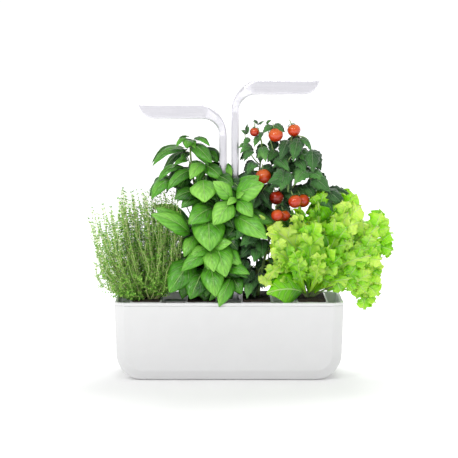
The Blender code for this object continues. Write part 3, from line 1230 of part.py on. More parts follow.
def make_tomato(x, obstacles, zones):
    foliage = Foliage(obstacles, zones)
    paths = grow_leafy_plant(foliage, x, TOMATO_HEIGHT, TOMATO_STEM_SHARES, TOMATO_LEAF_SHARES,
                             TOMATO_BLADE_SHARES, TOMATO_STEM_RADIUS, TOMATO_LEAF_THICKNESS)
    add_trusses(foliage, paths, x)
    return foliage.finish("tomato_plant", TOMATO_CROWN, CROWN_HEART, x, "tomato_leaf")


def make_lettuce(x, obstacles, zones):
    foliage = Foliage(obstacles, zones)
    for order, (tip, half_width, front, arch) in enumerate(LETTUCE_LEAF_SHARES):
        angle = math.tau * order * 0.382
        base = Vector((
            x + LETTUCE_CROWN[0] * 0.4 * math.cos(angle), LETTUCE_CROWN[1] * 0.5 * math.sin(angle),
            SOIL_TOP + SOIL_MOUND,
        ))
        target = placed(tip, x, LETTUCE_HEIGHT)

        def build(size, base=base, target=target, half_width=half_width, front=front, arch=arch):
            return blade_shell(
                base, base.lerp(target, size), half_width * LETTUCE_HEIGHT * size * 1.15,
                LETTUCE_LEAF_THICKNESS, facing_of(front), LETTUCE_BLADE_SHARES, arch, 0.0, ripple=0.22,
            )

        foliage.grow(build)
    return foliage.finish("lettuce_plant", LETTUCE_CROWN, LETTUCE_HEART, x, "lettuce_leaf")


def sprig_shell(base, tip, size):
    """A thyme sprig: a thin three-sided stem that swells at each whorl of leaves."""
    path, radii = [], []
    target = base.lerp(tip, size)
    sag = Vector((target.x - base.x, target.y - base.y, 0)) * THYME_SAG_SHARE
    for order, share in enumerate(THYME_RING_SHARES):
        path.append(base.lerp(target, share) + sag * (4 * share * (1 - share)))
        radii.append(THYME_STEM_RADIUS if order % 2 == 0 else THYME_WHORL_RADIUS * (1.1 - 0.5 * share))
    path.append(target)
    radii.append(THYME_STEM_RADIUS / 3)
    return tube_shell(path, radii, sides=3)


def make_thyme(x, obstacles, zones):
    foliage = Foliage(obstacles, zones)
    golden = math.pi * (3 - math.sqrt(5))
    base_z = SOIL_TOP + SOIL_MOUND
    for order in range(THYME_SPRIGS):
        lean = math.sqrt((order + 0.5) / THYME_SPRIGS)
        angle = order * golden
        across, deep = math.cos(angle) * lean, math.sin(angle) * lean
        base = Vector((x + THYME_CROWN[0] * 0.75 * across, THYME_CROWN[1] * 0.8 * deep, base_z))
        ragged = 1 - THYME_RAGGED_SHARE + THYME_RAGGED_SHARE * math.cos(order * THYME_BEAT)
        height = THYME_HEIGHT * (1 - THYME_RIM_DROP_SHARE * lean ** 3) * ragged
        tip = Vector((x + THYME_LEAN_X + THYME_SPREAD_X * across, THYME_SPREAD_Y * deep,
                      BODY_HEIGHT + height))

        def build(size, base=base, tip=tip):
            return sprig_shell(base, tip, size)

        foliage.grow(build, (1.0, 0.9, 0.8, 0.65, 0.5))
    return foliage.finish("thyme_plant", THYME_CROWN, CROWN_HEART, x, "thyme_leaf")


def shade_round(limit_deg=35):
    for made in bpy.context.scene.objects:
        made.data.shade_smooth()
        made.data.set_sharp_from_angle(angle=math.radians(limit_deg))


def set_origin(name, pivot):
    """Puts a moving piece's origin on its joint's axis."""
    made = bpy.data.objects[name]
    made.data.transform(Matrix.Translation(-Vector(pivot)))
    made.location = pivot


def set_origins():
    set_origin("fill_flap", (PORT_X, hinge_y(), hinge_z()))
    set_origin("float_gauge", (GAUGE_X, GAUGE_Y, GUIDE_TOP))
    set_origin("mode_button", (-REAR_FITTINGS_X, BODY_DEPTH / 2, REAR_FITTINGS_Z))
    for side, name in zip(SIDES, ("left", "right")):
        for piece in ("arm", "led_board", "diffuser"):
            set_origin(f"{name}_{piece}", (side * MAST_X, 0, WELL_TOP))


def main():
    clear_scene()
    make_tank()
    make_deck()
    make_flap()
    crowns = (THYME_CROWN, BASIL_CROWN, TOMATO_CROWN, LETTUCE_CROWN)
    for index, (x, crown) in enumerate(zip(POD_X, crowns), 1):
        make_pod(index, x)
        make_wick(index, x)
        make_soil(index, x, crown)
    make_well()
    make_electronics()
    make_gauge()
    for side, name in zip(SIDES, ("left", "right")):
        make_lamp(side, name)
    make_fruits(POD_X[2])
    zones = keep_out_zones()
    obstacles = [tree_of(made) for made in bpy.context.scene.objects]
    for make, x in (
        (make_basil, POD_X[1]), (make_tomato, POD_X[2]), (make_lettuce, POD_X[3]), (make_thyme, POD_X[0]),
    ):
        obstacles.append(tree_of(make(x, obstacles, zones)))
    shade_round()
    set_origins()


main()
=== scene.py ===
"""Countertop hydroponic garden: the finishes, the plants, the studio and the camera."""
import json
import math
import random

import bpy
import numpy as np
from mathutils import Matrix, Vector


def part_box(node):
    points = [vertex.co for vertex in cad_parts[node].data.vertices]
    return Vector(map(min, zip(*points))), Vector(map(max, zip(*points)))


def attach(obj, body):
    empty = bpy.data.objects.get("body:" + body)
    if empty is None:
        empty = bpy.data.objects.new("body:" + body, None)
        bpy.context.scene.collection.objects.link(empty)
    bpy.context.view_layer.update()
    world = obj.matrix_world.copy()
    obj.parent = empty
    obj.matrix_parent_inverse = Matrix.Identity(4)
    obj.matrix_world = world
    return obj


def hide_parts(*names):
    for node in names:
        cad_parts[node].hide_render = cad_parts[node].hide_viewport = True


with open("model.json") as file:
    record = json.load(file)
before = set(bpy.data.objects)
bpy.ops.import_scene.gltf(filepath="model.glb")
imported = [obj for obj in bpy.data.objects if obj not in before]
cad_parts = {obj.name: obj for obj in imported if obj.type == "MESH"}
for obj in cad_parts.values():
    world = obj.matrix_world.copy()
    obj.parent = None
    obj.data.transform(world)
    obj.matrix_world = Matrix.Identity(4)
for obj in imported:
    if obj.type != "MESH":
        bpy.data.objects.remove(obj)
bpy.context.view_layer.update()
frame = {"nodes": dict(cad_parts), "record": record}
nodes = frame["nodes"]

CAMERA_PLACE = (0.0, -3.69, 0.608)
CAMERA_PITCH = math.radians(5.21)
CAMERA_LENS = 156.41
SENSOR_WIDTH = 36.0
PICTURE_SIDE = 458
FOCAL_PIXELS = CAMERA_LENS / SENSOR_WIDTH * PICTURE_SIDE
PIXEL = 1 / 540.0       # what one pixel of the photograph spans at the plants
MM = 0.001
HAIR = 0.001
REAR_SHARE = 0.94       # the depth of a plant's rear against that of its front
STEM_CUTS = 12
FRUITS = range(1, 10)

luck = random.Random(7)


def seen(across, down, depth):
    """The point at this depth that the camera sees at this place in the photograph."""
    right = (across - PICTURE_SIDE / 2) / FOCAL_PIXELS
    up = (PICTURE_SIDE / 2 - down) / FOCAL_PIXELS
    ray = (right,
           math.cos(CAMERA_PITCH) + up * math.sin(CAMERA_PITCH),
           -math.sin(CAMERA_PITCH) + up * math.cos(CAMERA_PITCH))
    reach = (depth - CAMERA_PLACE[1]) / ray[1]
    return np.array([start + step * reach for start, step in zip(CAMERA_PLACE, ray)])


def marked(across, down, depth):
    """The same for a place in a table, whose depth is in millimetres."""
    return seen(across, down, depth * MM)


def unit(vector):
    return vector / np.linalg.norm(vector)


# Finishes

class Finish:
    """A material under construction: its shader, and short ways to add and wire nodes."""

    def __init__(self, name, tone, roughness, **sockets):
        self.material = bpy.data.materials.new(name)
        self.material.use_nodes = True
        self.tree = self.material.node_tree
        self.shader = self.tree.nodes["Principled BSDF"]
        self.shader.inputs["Base Color"].default_value = (*tone, 1)
        self.shader.inputs["Roughness"].default_value = roughness
        for socket, value in sockets.items():
            self.shader.inputs[socket.replace("_", " ")].default_value = value
        self.place = self.add("ShaderNodeTexCoord")

    def add(self, kind, **settings):
        node = self.tree.nodes.new(kind)
        for key, value in settings.items():
            setattr(node, key, value)
        return node

    def wire(self, source, target):
        self.tree.links.new(source, target)

    def feed(self, socket, value):
        """Sets a socket to a number or a tone, or wires it."""
        if isinstance(value, (int, float)):
            socket.default_value = value
        elif isinstance(value, tuple):
            socket.default_value = (*value, 1)
        else:
            self.wire(value, socket)

    def axes(self, source="Object"):
        """The three parts of the piece's coordinates."""
        parts = self.add("ShaderNodeSeparateXYZ")
        self.wire(self.place.outputs[source], parts.inputs["Vector"])
        return tuple(parts.outputs)

    def noise(self, scale, detail=4.0, roughness=0.55, stretch=(1, 1, 1), source="Object"):
        mapping = self.add("ShaderNodeMapping")
        mapping.inputs["Scale"].default_value = stretch
        self.wire(self.place.outputs[source], mapping.inputs["Vector"])
        noise = self.add("ShaderNodeTexNoise")
        for socket, value in (("Scale", scale), ("Detail", detail), ("Roughness", roughness)):
            noise.inputs[socket].default_value = value
        self.wire(mapping.outputs["Vector"], noise.inputs["Vector"])
        return noise.outputs["Fac"]

    def cells(self, scale, feature="F1"):
        cells = self.add("ShaderNodeTexVoronoi", feature=feature)
        cells.inputs["Scale"].default_value = scale
        self.wire(self.place.outputs["Object"], cells.inputs["Vector"])
        return cells.outputs["Distance"]

    def tone_and_painted_shade(self):
        """The tone that each leaf, stem or fruit brings with it: its own variation, with the
        painted shade and painted light laid into it.
        """
        return self.add("ShaderNodeAttribute", attribute_name="tone").outputs["Fac"]

    def maths(self, operation, *values):
        """One arithmetic step on wires or numbers."""
        node = self.add("ShaderNodeMath", operation=operation)
        for socket, value in zip(node.inputs, values):
            self.feed(socket, value)
        return node.outputs["Value"]

    def plus(self, first, second):
        return self.maths("ADD", first, second)

    def minus(self, first, second):
        return self.maths("SUBTRACT", first, second)

    def times(self, first, second):
        return self.maths("MULTIPLY", first, second)

    def ramp(self, source, *stops):
        """Tones by value: each stop is (value, (red, green, blue))."""
        ramp = self.add("ShaderNodeValToRGB")
        elements = ramp.color_ramp.elements
        while len(elements) < len(stops):
            elements.new(0.5)
        for element, (value, tone) in zip(elements, stops):
            element.position = value
            element.color = (*tone, 1)
        self.wire(source, ramp.inputs["Fac"])
        return ramp.outputs["Color"]

    def band(self, source, low, high, start=0.0, end=1.0):
        """The source taken from one range to another, held at the ends."""
        node = self.add("ShaderNodeMapRange")
        set_range(node, low, high, start, end)
        self.wire(source, node.inputs["Value"])
        return node.outputs["Result"]

    def blend(self, factor, first, second):
        node = self.add("ShaderNodeMix", data_type="RGBA", blend_type="MIX")
        for place, value in ((0, factor), (6, first), (7, second)):
            self.feed(node.inputs[place], value)
        return node.outputs[2]

    def tint(self, colour):
        self.wire(colour, self.shader.inputs["Base Color"])

    def rough(self, source, low, high):
        self.wire(self.band(source, 0.0, 1.0, low, high), self.shader.inputs["Roughness"])

    def bump(self, height, distance, strength):
        bump = self.add("ShaderNodeBump")
        bump.inputs["Distance"].default_value = distance
        bump.inputs["Strength"].default_value = strength
        self.wire(height, bump.inputs["Height"])
        self.wire(bump.outputs["Normal"], self.shader.inputs["Normal"])


def set_range(node, *ends):
    for socket, value in zip(("From Min", "From Max", "To Min", "To Max"), ends):
        node.inputs[socket].default_value = value


def moulded_white(name, tone, roughness):
    """Satin injection-moulded plastic: a fine skin, faint mottling, and a painted highlight that
    lightens the sharp edges.
    """
    finish = Finish(name, tone, roughness, IOR=1.48, Coat_Weight=0.12, Coat_Roughness=0.18)
    low = tuple(part * 0.988 for part in tone)
    high = tuple(min(1.0, part * 1.008) for part in tone)
    base = finish.ramp(finish.noise(26.0, detail=3.0), (0.35, low), (0.65, high))
    # Painted highlight: where the surface is pointy, on its convex edges, the tone is blended
    # towards a light grey.
    edge = finish.add("ShaderNodeNewGeometry").outputs["Pointiness"]
    edge_highlight = finish.times(finish.band(edge, 0.52, 0.62), 0.5)
    finish.tint(finish.blend(edge_highlight, base, (0.90, 0.90, 0.90)))
    finish.rough(finish.noise(140.0), roughness - 0.05, roughness + 0.07)
    finish.bump(finish.noise(2600.0, detail=2.0), 0.00002, 0.35)
    return finish.material


def brushed_bar():
    """Aluminium brushed along the bar: across on the lamp heads, upright on the masts."""
    finish = Finish("brushed_aluminium", (0.78, 0.77, 0.82), 0.38, Metallic=0.85, Anisotropic=0.55)
    on_head = finish.band(finish.maths("ABSOLUTE", finish.axes()[0]), 0.026, 0.046)
    head_lines = finish.noise(1.0, detail=6.0, roughness=0.7, stretch=(9.0, 700.0, 1500.0))
    mast_lines = finish.noise(1.0, detail=6.0, roughness=0.7, stretch=(1500.0, 900.0, 9.0))
    lines = finish.plus(finish.times(head_lines, on_head),
                        finish.times(mast_lines, finish.minus(1.0, on_head)))
    finish.tint(finish.ramp(lines, (0.30, (0.66, 0.65, 0.70)), (0.70, (0.83, 0.82, 0.865))))
    finish.rough(lines, 0.30, 0.46)
    finish.bump(lines, 0.00003, 0.5)
    return finish.material


def frosted_cover():
    """The lamp's cover: milky plastic with fine prism ribs across it."""
    finish = Finish("frosted_cover", (0.86, 0.86, 0.85), 0.42, IOR=1.49)
    ribs = finish.maths("SINE", finish.times(finish.axes()[0], 2 * math.pi / PRISM_PITCH))
    milk = finish.noise(60.0)
    finish.tint(finish.ramp(milk, (0.3, (0.80, 0.80, 0.79)), (0.7, (0.90, 0.90, 0.89))))
    finish.rough(finish.noise(300.0), 0.34, 0.5)
    finish.bump(ribs, 0.00012, 0.6)
    return finish.material


def circuit_board():
    """A lacquered board: pads in rows, tracks under green lacquer."""
    finish = Finish("circuit_board", (0.05, 0.20, 0.09), 0.35, Coat_Weight=0.4)
    bricks = finish.add("ShaderNodeTexBrick", offset=0.5)
    for socket, value in (("Scale", 90.0), ("Mortar Size", 0.03), ("Color1", (0.03, 0.17, 0.07)),
                          ("Color2", (0.05, 0.24, 0.10)), ("Mortar", (0.30, 0.42, 0.20))):
        finish.feed(bricks.inputs[socket], value)
    finish.wire(finish.place.outputs["Object"], bricks.inputs["Vector"])
    finish.tint(bricks.outputs["Color"])
    finish.rough(finish.noise(200.0), 0.25, 0.45)
    finish.bump(bricks.outputs["Fac"], 0.0001, 0.4)
    return finish.material


def speckled(finish, low, high, tone_noise, rough_noise, roughs, bump_noise, height, strength):
    """Completes a plain finish: two tones, a roughness and a relief, each from a noise."""
    finish.tint(finish.ramp(tone_noise, (0.3, low), (0.7, high)))
    finish.rough(rough_noise, *roughs)
    finish.bump(bump_noise, height, strength)
    return finish.material


def soft_rubber():
    finish = Finish("rubber", (0.035, 0.035, 0.037), 0.75)
    return speckled(finish, (0.025, 0.025, 0.027), (0.055, 0.055, 0.057), finish.noise(90.0),
                    finish.noise(400.0), (0.62, 0.85), finish.noise(1800.0), 0.00005, 0.5)


def turned_steel():
    finish = Finish("steel", (0.55, 0.55, 0.56), 0.3, Metallic=1.0, Anisotropic=0.4)
    rings = finish.noise(1.0, stretch=(2400.0, 60.0, 60.0))
    return speckled(finish, (0.45, 0.45, 0.46), (0.66, 0.66, 0.67), rings, rings, (0.2, 0.4),
                    rings, 0.00002, 0.4)


def coloured_plastic(name, low, high, roughness):
    finish = Finish(name, low, roughness, Coat_Weight=0.2)
    return speckled(finish, low, high, finish.noise(40.0), finish.noise(300.0),
                    (roughness - 0.05, roughness + 0.08), finish.noise(1500.0), 0.00002, 0.4)


def wet_felt():
    """Needled felt: crossed fibres, darker where it is wet."""
    finish = Finish("felt", (0.62, 0.60, 0.55), 0.95, Sheen_Weight=0.4)
    fibres = finish.times(finish.plus(finish.noise(1.0, stretch=(1800.0, 1800.0, 260.0)),
                                      finish.noise(1.0, stretch=(300.0, 1500.0, 1700.0))), 0.5)
    dry = finish.ramp(fibres, (0.35, (0.48, 0.46, 0.40)), (0.65, (0.72, 0.70, 0.64)))
    wet = finish.band(finish.axes()[2], *WET_FROM_TO, 0.45, 0.0)
    finish.tint(finish.blend(wet, dry, (0.24, 0.22, 0.18)))
    finish.bump(fibres, 0.0003, 0.8)
    return finish.material


def potting_soil():
    """Damp potting soil: dark crumbs, some root fibre and a few pale grains."""
    finish = Finish("soil", (0.03, 0.02, 0.014), 0.95)
    crumbs = finish.noise(420.0, detail=6.0, roughness=0.7)
    dark = finish.ramp(crumbs, (0.35, (0.010, 0.007, 0.005)), (0.55, (0.035, 0.022, 0.014)),
                       (0.78, (0.11, 0.07, 0.045)))
    pale = finish.times(finish.band(finish.cells(260.0), 0.10, 0.06), 0.5)
    finish.tint(finish.blend(pale, dark, (0.30, 0.25, 0.19)))
    finish.rough(crumbs, 0.8, 1.0)
    finish.bump(crumbs, 0.0012, 1.0)
    return finish.material


def leaf_finish(name, tones, side_veins, slope, roughness, quilting, **sockets):
    """A leaf: a midrib and side veins from the blade's own map, tones by the leaf and by patches,
    and painted light and shade within each blade.
    The tones are those of the shade, the body, the light and the veins."""
    shade, body, light, vein = tones
    finish = Finish(name, body, roughness, **sockets)
    across, along, _ = finish.axes("UV")
    aside = finish.maths("ABSOLUTE", finish.minus(across, 0.5))
    wander = finish.times(finish.noise(7.0, source="UV"), 0.10)
    order = finish.minus(along, finish.times(aside, slope))
    wave = finish.maths("FRACT", finish.times(finish.plus(order, wander), side_veins))
    spacing = finish.maths("ABSOLUTE", finish.minus(wave, 0.5))
    side = finish.times(finish.band(spacing, 0.07, 0.02), finish.band(aside, 0.46, 0.30))
    midrib = finish.band(aside, 0.030, 0.008)
    veins = finish.maths("MAXIMUM", finish.times(side, 0.55), midrib)
    patches = finish.noise(38.0, detail=5.0)
    level = finish.plus(finish.times(finish.tone_and_painted_shade(), 0.8),
                        finish.times(finish.minus(patches, 0.5), 0.55))
    # Painted light and shade: lighter on the puffs between the side veins and darker in the vein
    # grooves, darker towards the leaf's foot, one half of the blade lighter than the other.
    for part in (finish.times(spacing, 0.24), finish.band(along, 0.0, 0.9, -0.20, 0.08),
                 finish.band(across, 0.47, 0.53, -0.05, 0.05)):
        level = finish.plus(level, part)
    base = finish.ramp(level, (0.05, shade), (0.45, body), (0.85, light))
    finish.tint(finish.blend(finish.times(veins, 0.72), base, vein))
    finish.rough(patches, roughness - 0.06, roughness + 0.14)
    relief = finish.minus(finish.times(finish.cells(340.0, "SMOOTH_F1"), 0.35), veins)
    finish.bump(relief, quilting, 0.7)
    return finish.material


def tomato_skin():
    """Ripe skin: orange on top round the stalk, painted there as light falling on it, deep red
    below as painted shade, a hard gloss.
    """
    finish = Finish("tomato_skin", (0.60, 0.03, 0.005), 0.16, IOR=1.48, Coat_Weight=0.6,
                    Coat_Roughness=0.12)
    patches = finish.minus(finish.noise(45.0), 0.5)
    level = finish.plus(finish.tone_and_painted_shade(), finish.times(patches, 0.35))
    finish.tint(finish.ramp(level, (0.0, (0.18, 0.004, 0.001)), (0.40, (0.47, 0.018, 0.002)),
                            (0.75, (0.64, 0.052, 0.004)), (1.0, (0.74, 0.130, 0.010))))
    finish.rough(finish.noise(150.0), 0.16, 0.28)
    finish.bump(finish.noise(700.0), 0.00004, 0.4)
    return finish.material


def bark(name, low, high):
    """A stem: streaks along it, fine down."""
    finish = Finish(name, high, 0.6, Sheen_Weight=0.2)
    streaks = finish.noise(1.0, stretch=(900.0, 900.0, 70.0))
    level = finish.plus(finish.times(streaks, 0.6), finish.times(finish.tone_and_painted_shade(), 0.5))
    finish.tint(finish.ramp(level, (0.2, low), (0.8, high)))
    finish.bump(streaks, 0.0002, 0.5)
    return finish.material


PRISM_PITCH = 0.0022
WET_FROM_TO = (0.04, 0.07)      # heights between which the wicks turn from wet to dry
BASIL_SIDE_VEINS = 5.0
BASIL_VEIN_SLOPE = 0.9
TOMATO_SIDE_VEINS = 6.0
TOMATO_VEIN_SLOPE = 1.1

finishes = {
    "white_plastic": moulded_white("white_plastic", (0.735, 0.735, 0.74), 0.36),
    "grey_plastic": moulded_white("grey_plastic", (0.62, 0.62, 0.63), 0.42),
    "brushed_aluminium": brushed_bar(),
    "diffuser": frosted_cover(),
    "circuit_board": circuit_board(),
    "rubber": soft_rubber(),
    "steel": turned_steel(),
    "felt": wet_felt(),
    "soil": potting_soil(),
    "gauge_red": coloured_plastic("gauge_red", (0.55, 0.03, 0.02), (0.68, 0.05, 0.03), 0.35),
    "basil_leaf": leaf_finish(
        "basil_leaf",
        ((0.006, 0.060, 0.003), (0.095, 0.385, 0.018), (0.33, 0.74, 0.105), (0.40, 0.68, 0.21)),
        BASIL_SIDE_VEINS, BASIL_VEIN_SLOPE, 0.30, 0.0020,
        IOR=1.45, Coat_Weight=0.15, Coat_Roughness=0.25),
    "tomato_leaf": leaf_finish(
        "tomato_leaf",
        ((0.006, 0.062, 0.006), (0.055, 0.240, 0.024), (0.20, 0.48, 0.095), (0.24, 0.40, 0.18)),
        TOMATO_SIDE_VEINS, TOMATO_VEIN_SLOPE, 0.52, 0.0022, Sheen_Weight=0.25),
    "lettuce_leaf": leaf_finish(
        "lettuce_leaf",
        ((0.060, 0.290, 0.001), (0.250, 0.760, 0.002), (0.64, 1.00, 0.12), (0.64, 0.88, 0.36)),
        5.0, 0.7, 0.36, 0.0012,
        Subsurface_Weight=0.35, Subsurface_Radius=(0.6, 1.0, 0.1), Subsurface_Scale=0.003),
    "thyme_leaf": leaf_finish(
        "thyme_leaf",
        ((0.055, 0.230, 0.014), (0.210, 0.620, 0.040), (0.56, 0.90, 0.17), (0.42, 0.62, 0.19)),
        3.0, 0.8, 0.6, 0.0003),
    "tomato_skin": tomato_skin(),
}

green_stem = bark("green_stem", (0.11, 0.22, 0.035), (0.36, 0.52, 0.16))
thyme_stem = bark("thyme_stem", (0.42, 0.42, 0.14), (0.80, 0.86, 0.40))
pale_rib = bark("pale_rib", (0.22, 0.38, 0.06), (0.55, 0.68, 0.34))

for part in frame["record"]["subparts"]:
    node = nodes[part["node"]]
    node.data.materials.clear()
    node.data.materials.append(finishes[part["material_slot"]])


# Modelling helpers

def deselect():
    if bpy.context.mode != "OBJECT":
        bpy.ops.object.mode_set(mode="OBJECT")
    bpy.ops.object.select_all(action="DESELECT")


def primitive(kind, name, **settings):
    """A new primitive, its place and turn applied."""
    deselect()
    getattr(bpy.ops.mesh, f"primitive_{kind}_add")(**settings)
    bpy.ops.object.transform_apply(location=True, rotation=True, scale=True)
    piece = bpy.context.active_object
    piece.name = name
    return piece


def edit():
    bpy.ops.object.mode_set(mode="EDIT")


def pick(piece, test):
    """In edit mode, selects the corners whose place passes the test."""
    bpy.ops.mesh.select_mode(type="VERT")
    bpy.ops.mesh.select_all(action="DESELECT")
    bpy.ops.object.mode_set(mode="OBJECT")
    for corner in piece.data.vertices:
        corner.select = bool(test(corner.co))
    edit()


def apply(piece, kind, **settings):
    """Adds one modifier and applies it."""
    deselect()
    piece.select_set(True)
    bpy.context.view_layer.objects.active = piece
    modifier = piece.modifiers.new(kind.title(), kind)
    for key, value in settings.items():
        setattr(modifier, key, value)
    bpy.ops.object.modifier_apply(modifier=modifier.name)


def smoothed(piece):
    """The active piece, shaded smooth."""
    bpy.ops.object.mode_set(mode="OBJECT")
    bpy.ops.object.shade_smooth()
    return piece


def places_of(piece):
    flat = np.empty(len(piece.data.vertices) * 3)
    piece.data.vertices.foreach_get("co", flat)
    return flat.reshape(-1, 3)


def put_places(piece, places):
    piece.data.vertices.foreach_set("co", places.ravel())
    piece.data.update()


def coated(piece, finish):
    piece.data.materials.clear()
    piece.data.materials.append(finish)
    return piece


def joined(name, pieces):
    """One object out of many, its finishes in the order in which the pieces name them."""
    deselect()
    for piece in pieces:
        piece.select_set(True)
    bpy.context.view_layer.objects.active = pieces[0]
    bpy.ops.object.join()
    whole = bpy.context.active_object
    whole.name = name
    return whole


def settle(piece, node):
    """Puts a piece on the garden in the place of the CAD's node."""
    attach(piece, "garden")
    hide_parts(node)


def discard(*patterns):
    for pattern in patterns:
        bpy.data.objects.remove(pattern)


# Patterns: each is one unit long, its stalk end at the origin

def leaf_sheet(name, rows, columns, thickness, form):
    """A flat sheet moved to where the form puts it, and given its thickness. The form takes the
    share of the width from the midrib (-1 to 1) and the share of the length."""
    piece = primitive("grid", name, x_subdivisions=columns, y_subdivisions=rows, size=1,
                      location=(0, 0.5, 0))
    blank = places_of(piece)
    put_places(piece, np.column_stack(form(2 * blank[:, 0], blank[:, 1])))
    apply(piece, "SOLIDIFY", thickness=thickness, offset=0)
    return smoothed(piece)


def half_width(along, widths):
    return 0.5 * np.interp(along, np.linspace(0, 1, len(widths)), widths)


def past(along, start, end=1.0):
    """How far along lies past the start, as a share of the way to the end."""
    return np.maximum(along - start, 0) / (end - start)


def puffed(along, out, side_veins, slope, height):
    """The blade's rise between its side veins, growing away from the midrib."""
    veins = side_veins * (along - slope * out / 2)
    return -height * np.cos(2 * math.pi * (veins - 0.5)) * np.minimum(1, 4 * out)


def basil_pattern():
    """An oval, pointed leaf: sides arched over, puffed between side veins, the tip bent down."""

    def form(aside, along):
        width = half_width(along, BASIL_WIDTHS)
        out = abs(aside)
        puff = puffed(along, out, BASIL_SIDE_VEINS, BASIL_VEIN_SLOPE, 0.022) * (1 - out**4)
        arch = 0.16 * np.minimum(out, 0.4) - 0.30 * np.maximum(out - 0.35, 0) ** 1.4
        wave = 0.035 * out**3 * np.sin(2 * math.pi * (2.5 * along + 0.2 * np.sign(aside)))
        dip = -0.06 * past(along, 0.75)
        return aside * width, along, (arch + puff + wave) * np.minimum(1, 2.2 * width) + dip

    return leaf_sheet("basil_leaf_pattern", 20, 8, 0.014, form)


def tomato_pattern(seed):
    """A leaflet: toothed, lobed near its foot, crumpled between deep veins, edges curled under."""

    def form(aside, along):
        width = half_width(along, TOMATO_WIDTHS)
        out = abs(aside)
        beat = 4.5 * along + 0.12 * np.sign(aside) + 0.3 * seed
        tooth = (beat % 1.0) * np.minimum(1, 6 * along) * np.minimum(1, 5 * (1 - along))
        reach = 1 - 0.20 * tooth * out**2
        puff = puffed(along, out, TOMATO_SIDE_VEINS, TOMATO_VEIN_SLOPE, 0.035)
        arch = 0.20 * np.minimum(out, 0.4) - 0.34 * np.maximum(out - 0.4, 0) ** 1.2
        crease = 0.045 * np.sin(9 * along + 5 * aside + 1.7 * seed) * np.minimum(1, 3 * out)
        rise = (arch + puff + crease) * np.minimum(1, 2.2 * width) - 0.10 * past(along, 0.7)
        return aside * width * reach, along - 0.05 * tooth * out, rise

    return leaf_sheet("tomato_leaflet_pattern", 20, 8, 0.016, form)


def lettuce_pattern(name, rows, widths, frill, waves, seed):
    """A lettuce sheet: its rim drawn up into ruffles that lean over, its face blistered."""
    phase = 1.3 * seed

    def form(aside, along):
        width = half_width(along, widths)
        out = abs(aside)
        rim = np.maximum(out, past(along, 0.66))
        turn = np.arctan2(aside * 0.55, along - 0.40)
        beat = waves * turn + phase + 0.9 * np.sin(3 * turn + phase)
        swell = frill * rim**2.2 * np.minimum(1, 3.2 * np.maximum(along - 0.06, 0))
        ruffle = swell * np.sin(beat) + 0.30 * swell * rim**3 * np.sin(2.3 * beat + phase)
        lean = 0.32 * swell * np.sin(2 * beat)
        lobe = 0.36 * swell * np.cos(beat + 0.4)
        blister = 0.014 * np.sin(26 * along + 9 * aside + phase) * np.sin(15 * aside - 8 * along)
        across = aside * width + lean * np.cos(turn) + lobe * np.sin(turn)
        up = along - 0.24 * aside**2 * along**2 - lean * np.sin(turn) + lobe * np.cos(turn)
        return across, up, ruffle + blister * np.minimum(1, 4 * along) - 0.16 * out**2 * width

    return leaf_sheet(name, rows, 10, 0.010, form)


def stem_pattern():
    """A stem: seven sides, thicker at its foot."""
    piece = primitive("cylinder", "stem_pattern", vertices=7, radius=0.5, depth=1,
                      end_fill_type="NGON", rotation=(-math.pi / 2, 0, 0), location=(0, 0.5, 0))
    edit()
    for cut in range(1, STEM_CUTS):
        bpy.ops.mesh.select_all(action="SELECT")
        bpy.ops.mesh.bisect(plane_co=(0, cut / STEM_CUTS, 0), plane_no=(0, 1, 0))
    for cut in range(STEM_CUTS + 1):
        pick(piece, lambda place: abs(place.y - cut / STEM_CUTS) < HAIR)
        share = 1.15 - 0.55 * cut / STEM_CUTS
        bpy.ops.transform.resize(value=(share, 1, share), center_override=(0, cut / STEM_CUTS, 0))
    return smoothed(piece)


def plump_leaf_pattern():
    """A small plump pointed oval: a thyme leaf, and a tomato's sepal."""
    piece = primitive("uv_sphere", "plump_leaf_pattern", segments=4, ring_count=3, radius=0.5,
                      rotation=(math.pi / 2, 0, 0), location=(0, 0.5, 0))
    edit()
    bpy.ops.mesh.select_all(action="SELECT")
    bpy.ops.transform.resize(value=(1, 1, 0.22), center_override=(0, 0, 0))
    return smoothed(piece)


def fruit_pattern():
    """A cherry tomato: a little wider than tall, drawn in at the stalk, faintly ribbed."""
    piece = primitive("uv_sphere", "fruit_pattern", segments=30, ring_count=18, radius=0.5,
                      rotation=(-math.pi / 2, 0, 0), location=(0, 0.5, 0))
    edit()
    for height, drop in ((0.995, -0.075), (0.985, -0.030), (0.965, -0.008), (0.004, 0.02)):
        pick(piece, lambda place: place.y > height if height > 0.5 else place.y < height)
        bpy.ops.transform.translate(value=(0, drop, 0))
    for rib in range(FRUIT_RIBS):
        turn = 2 * math.pi * rib / FRUIT_RIBS
        pick(piece, lambda place: place.y > 0.6 and abs(turned_from(place, turn)) < 0.25)
        bpy.ops.transform.resize(value=(0.985, 1, 0.985), center_override=(0, 0.5, 0))
    return smoothed(piece)


def turned_from(place, turn):
    """The angle round the fruit's axis between a place and a direction."""
    angle = math.atan2(place.z, place.x) - turn
    return math.atan2(math.sin(angle), math.cos(angle))


FRUIT_RIBS = 5
BASIL_WIDTHS = (0.08, 0.56, 0.88, 1.06, 1.14, 1.16, 1.13, 1.06, 0.95, 0.80, 0.60, 0.34, 0.03)
TOMATO_WIDTHS = (0.06, 0.62, 0.92, 1.02, 0.98, 1.00, 0.92, 0.84, 0.70, 0.56, 0.38, 0.18, 0.02)


# Laying pieces along a course

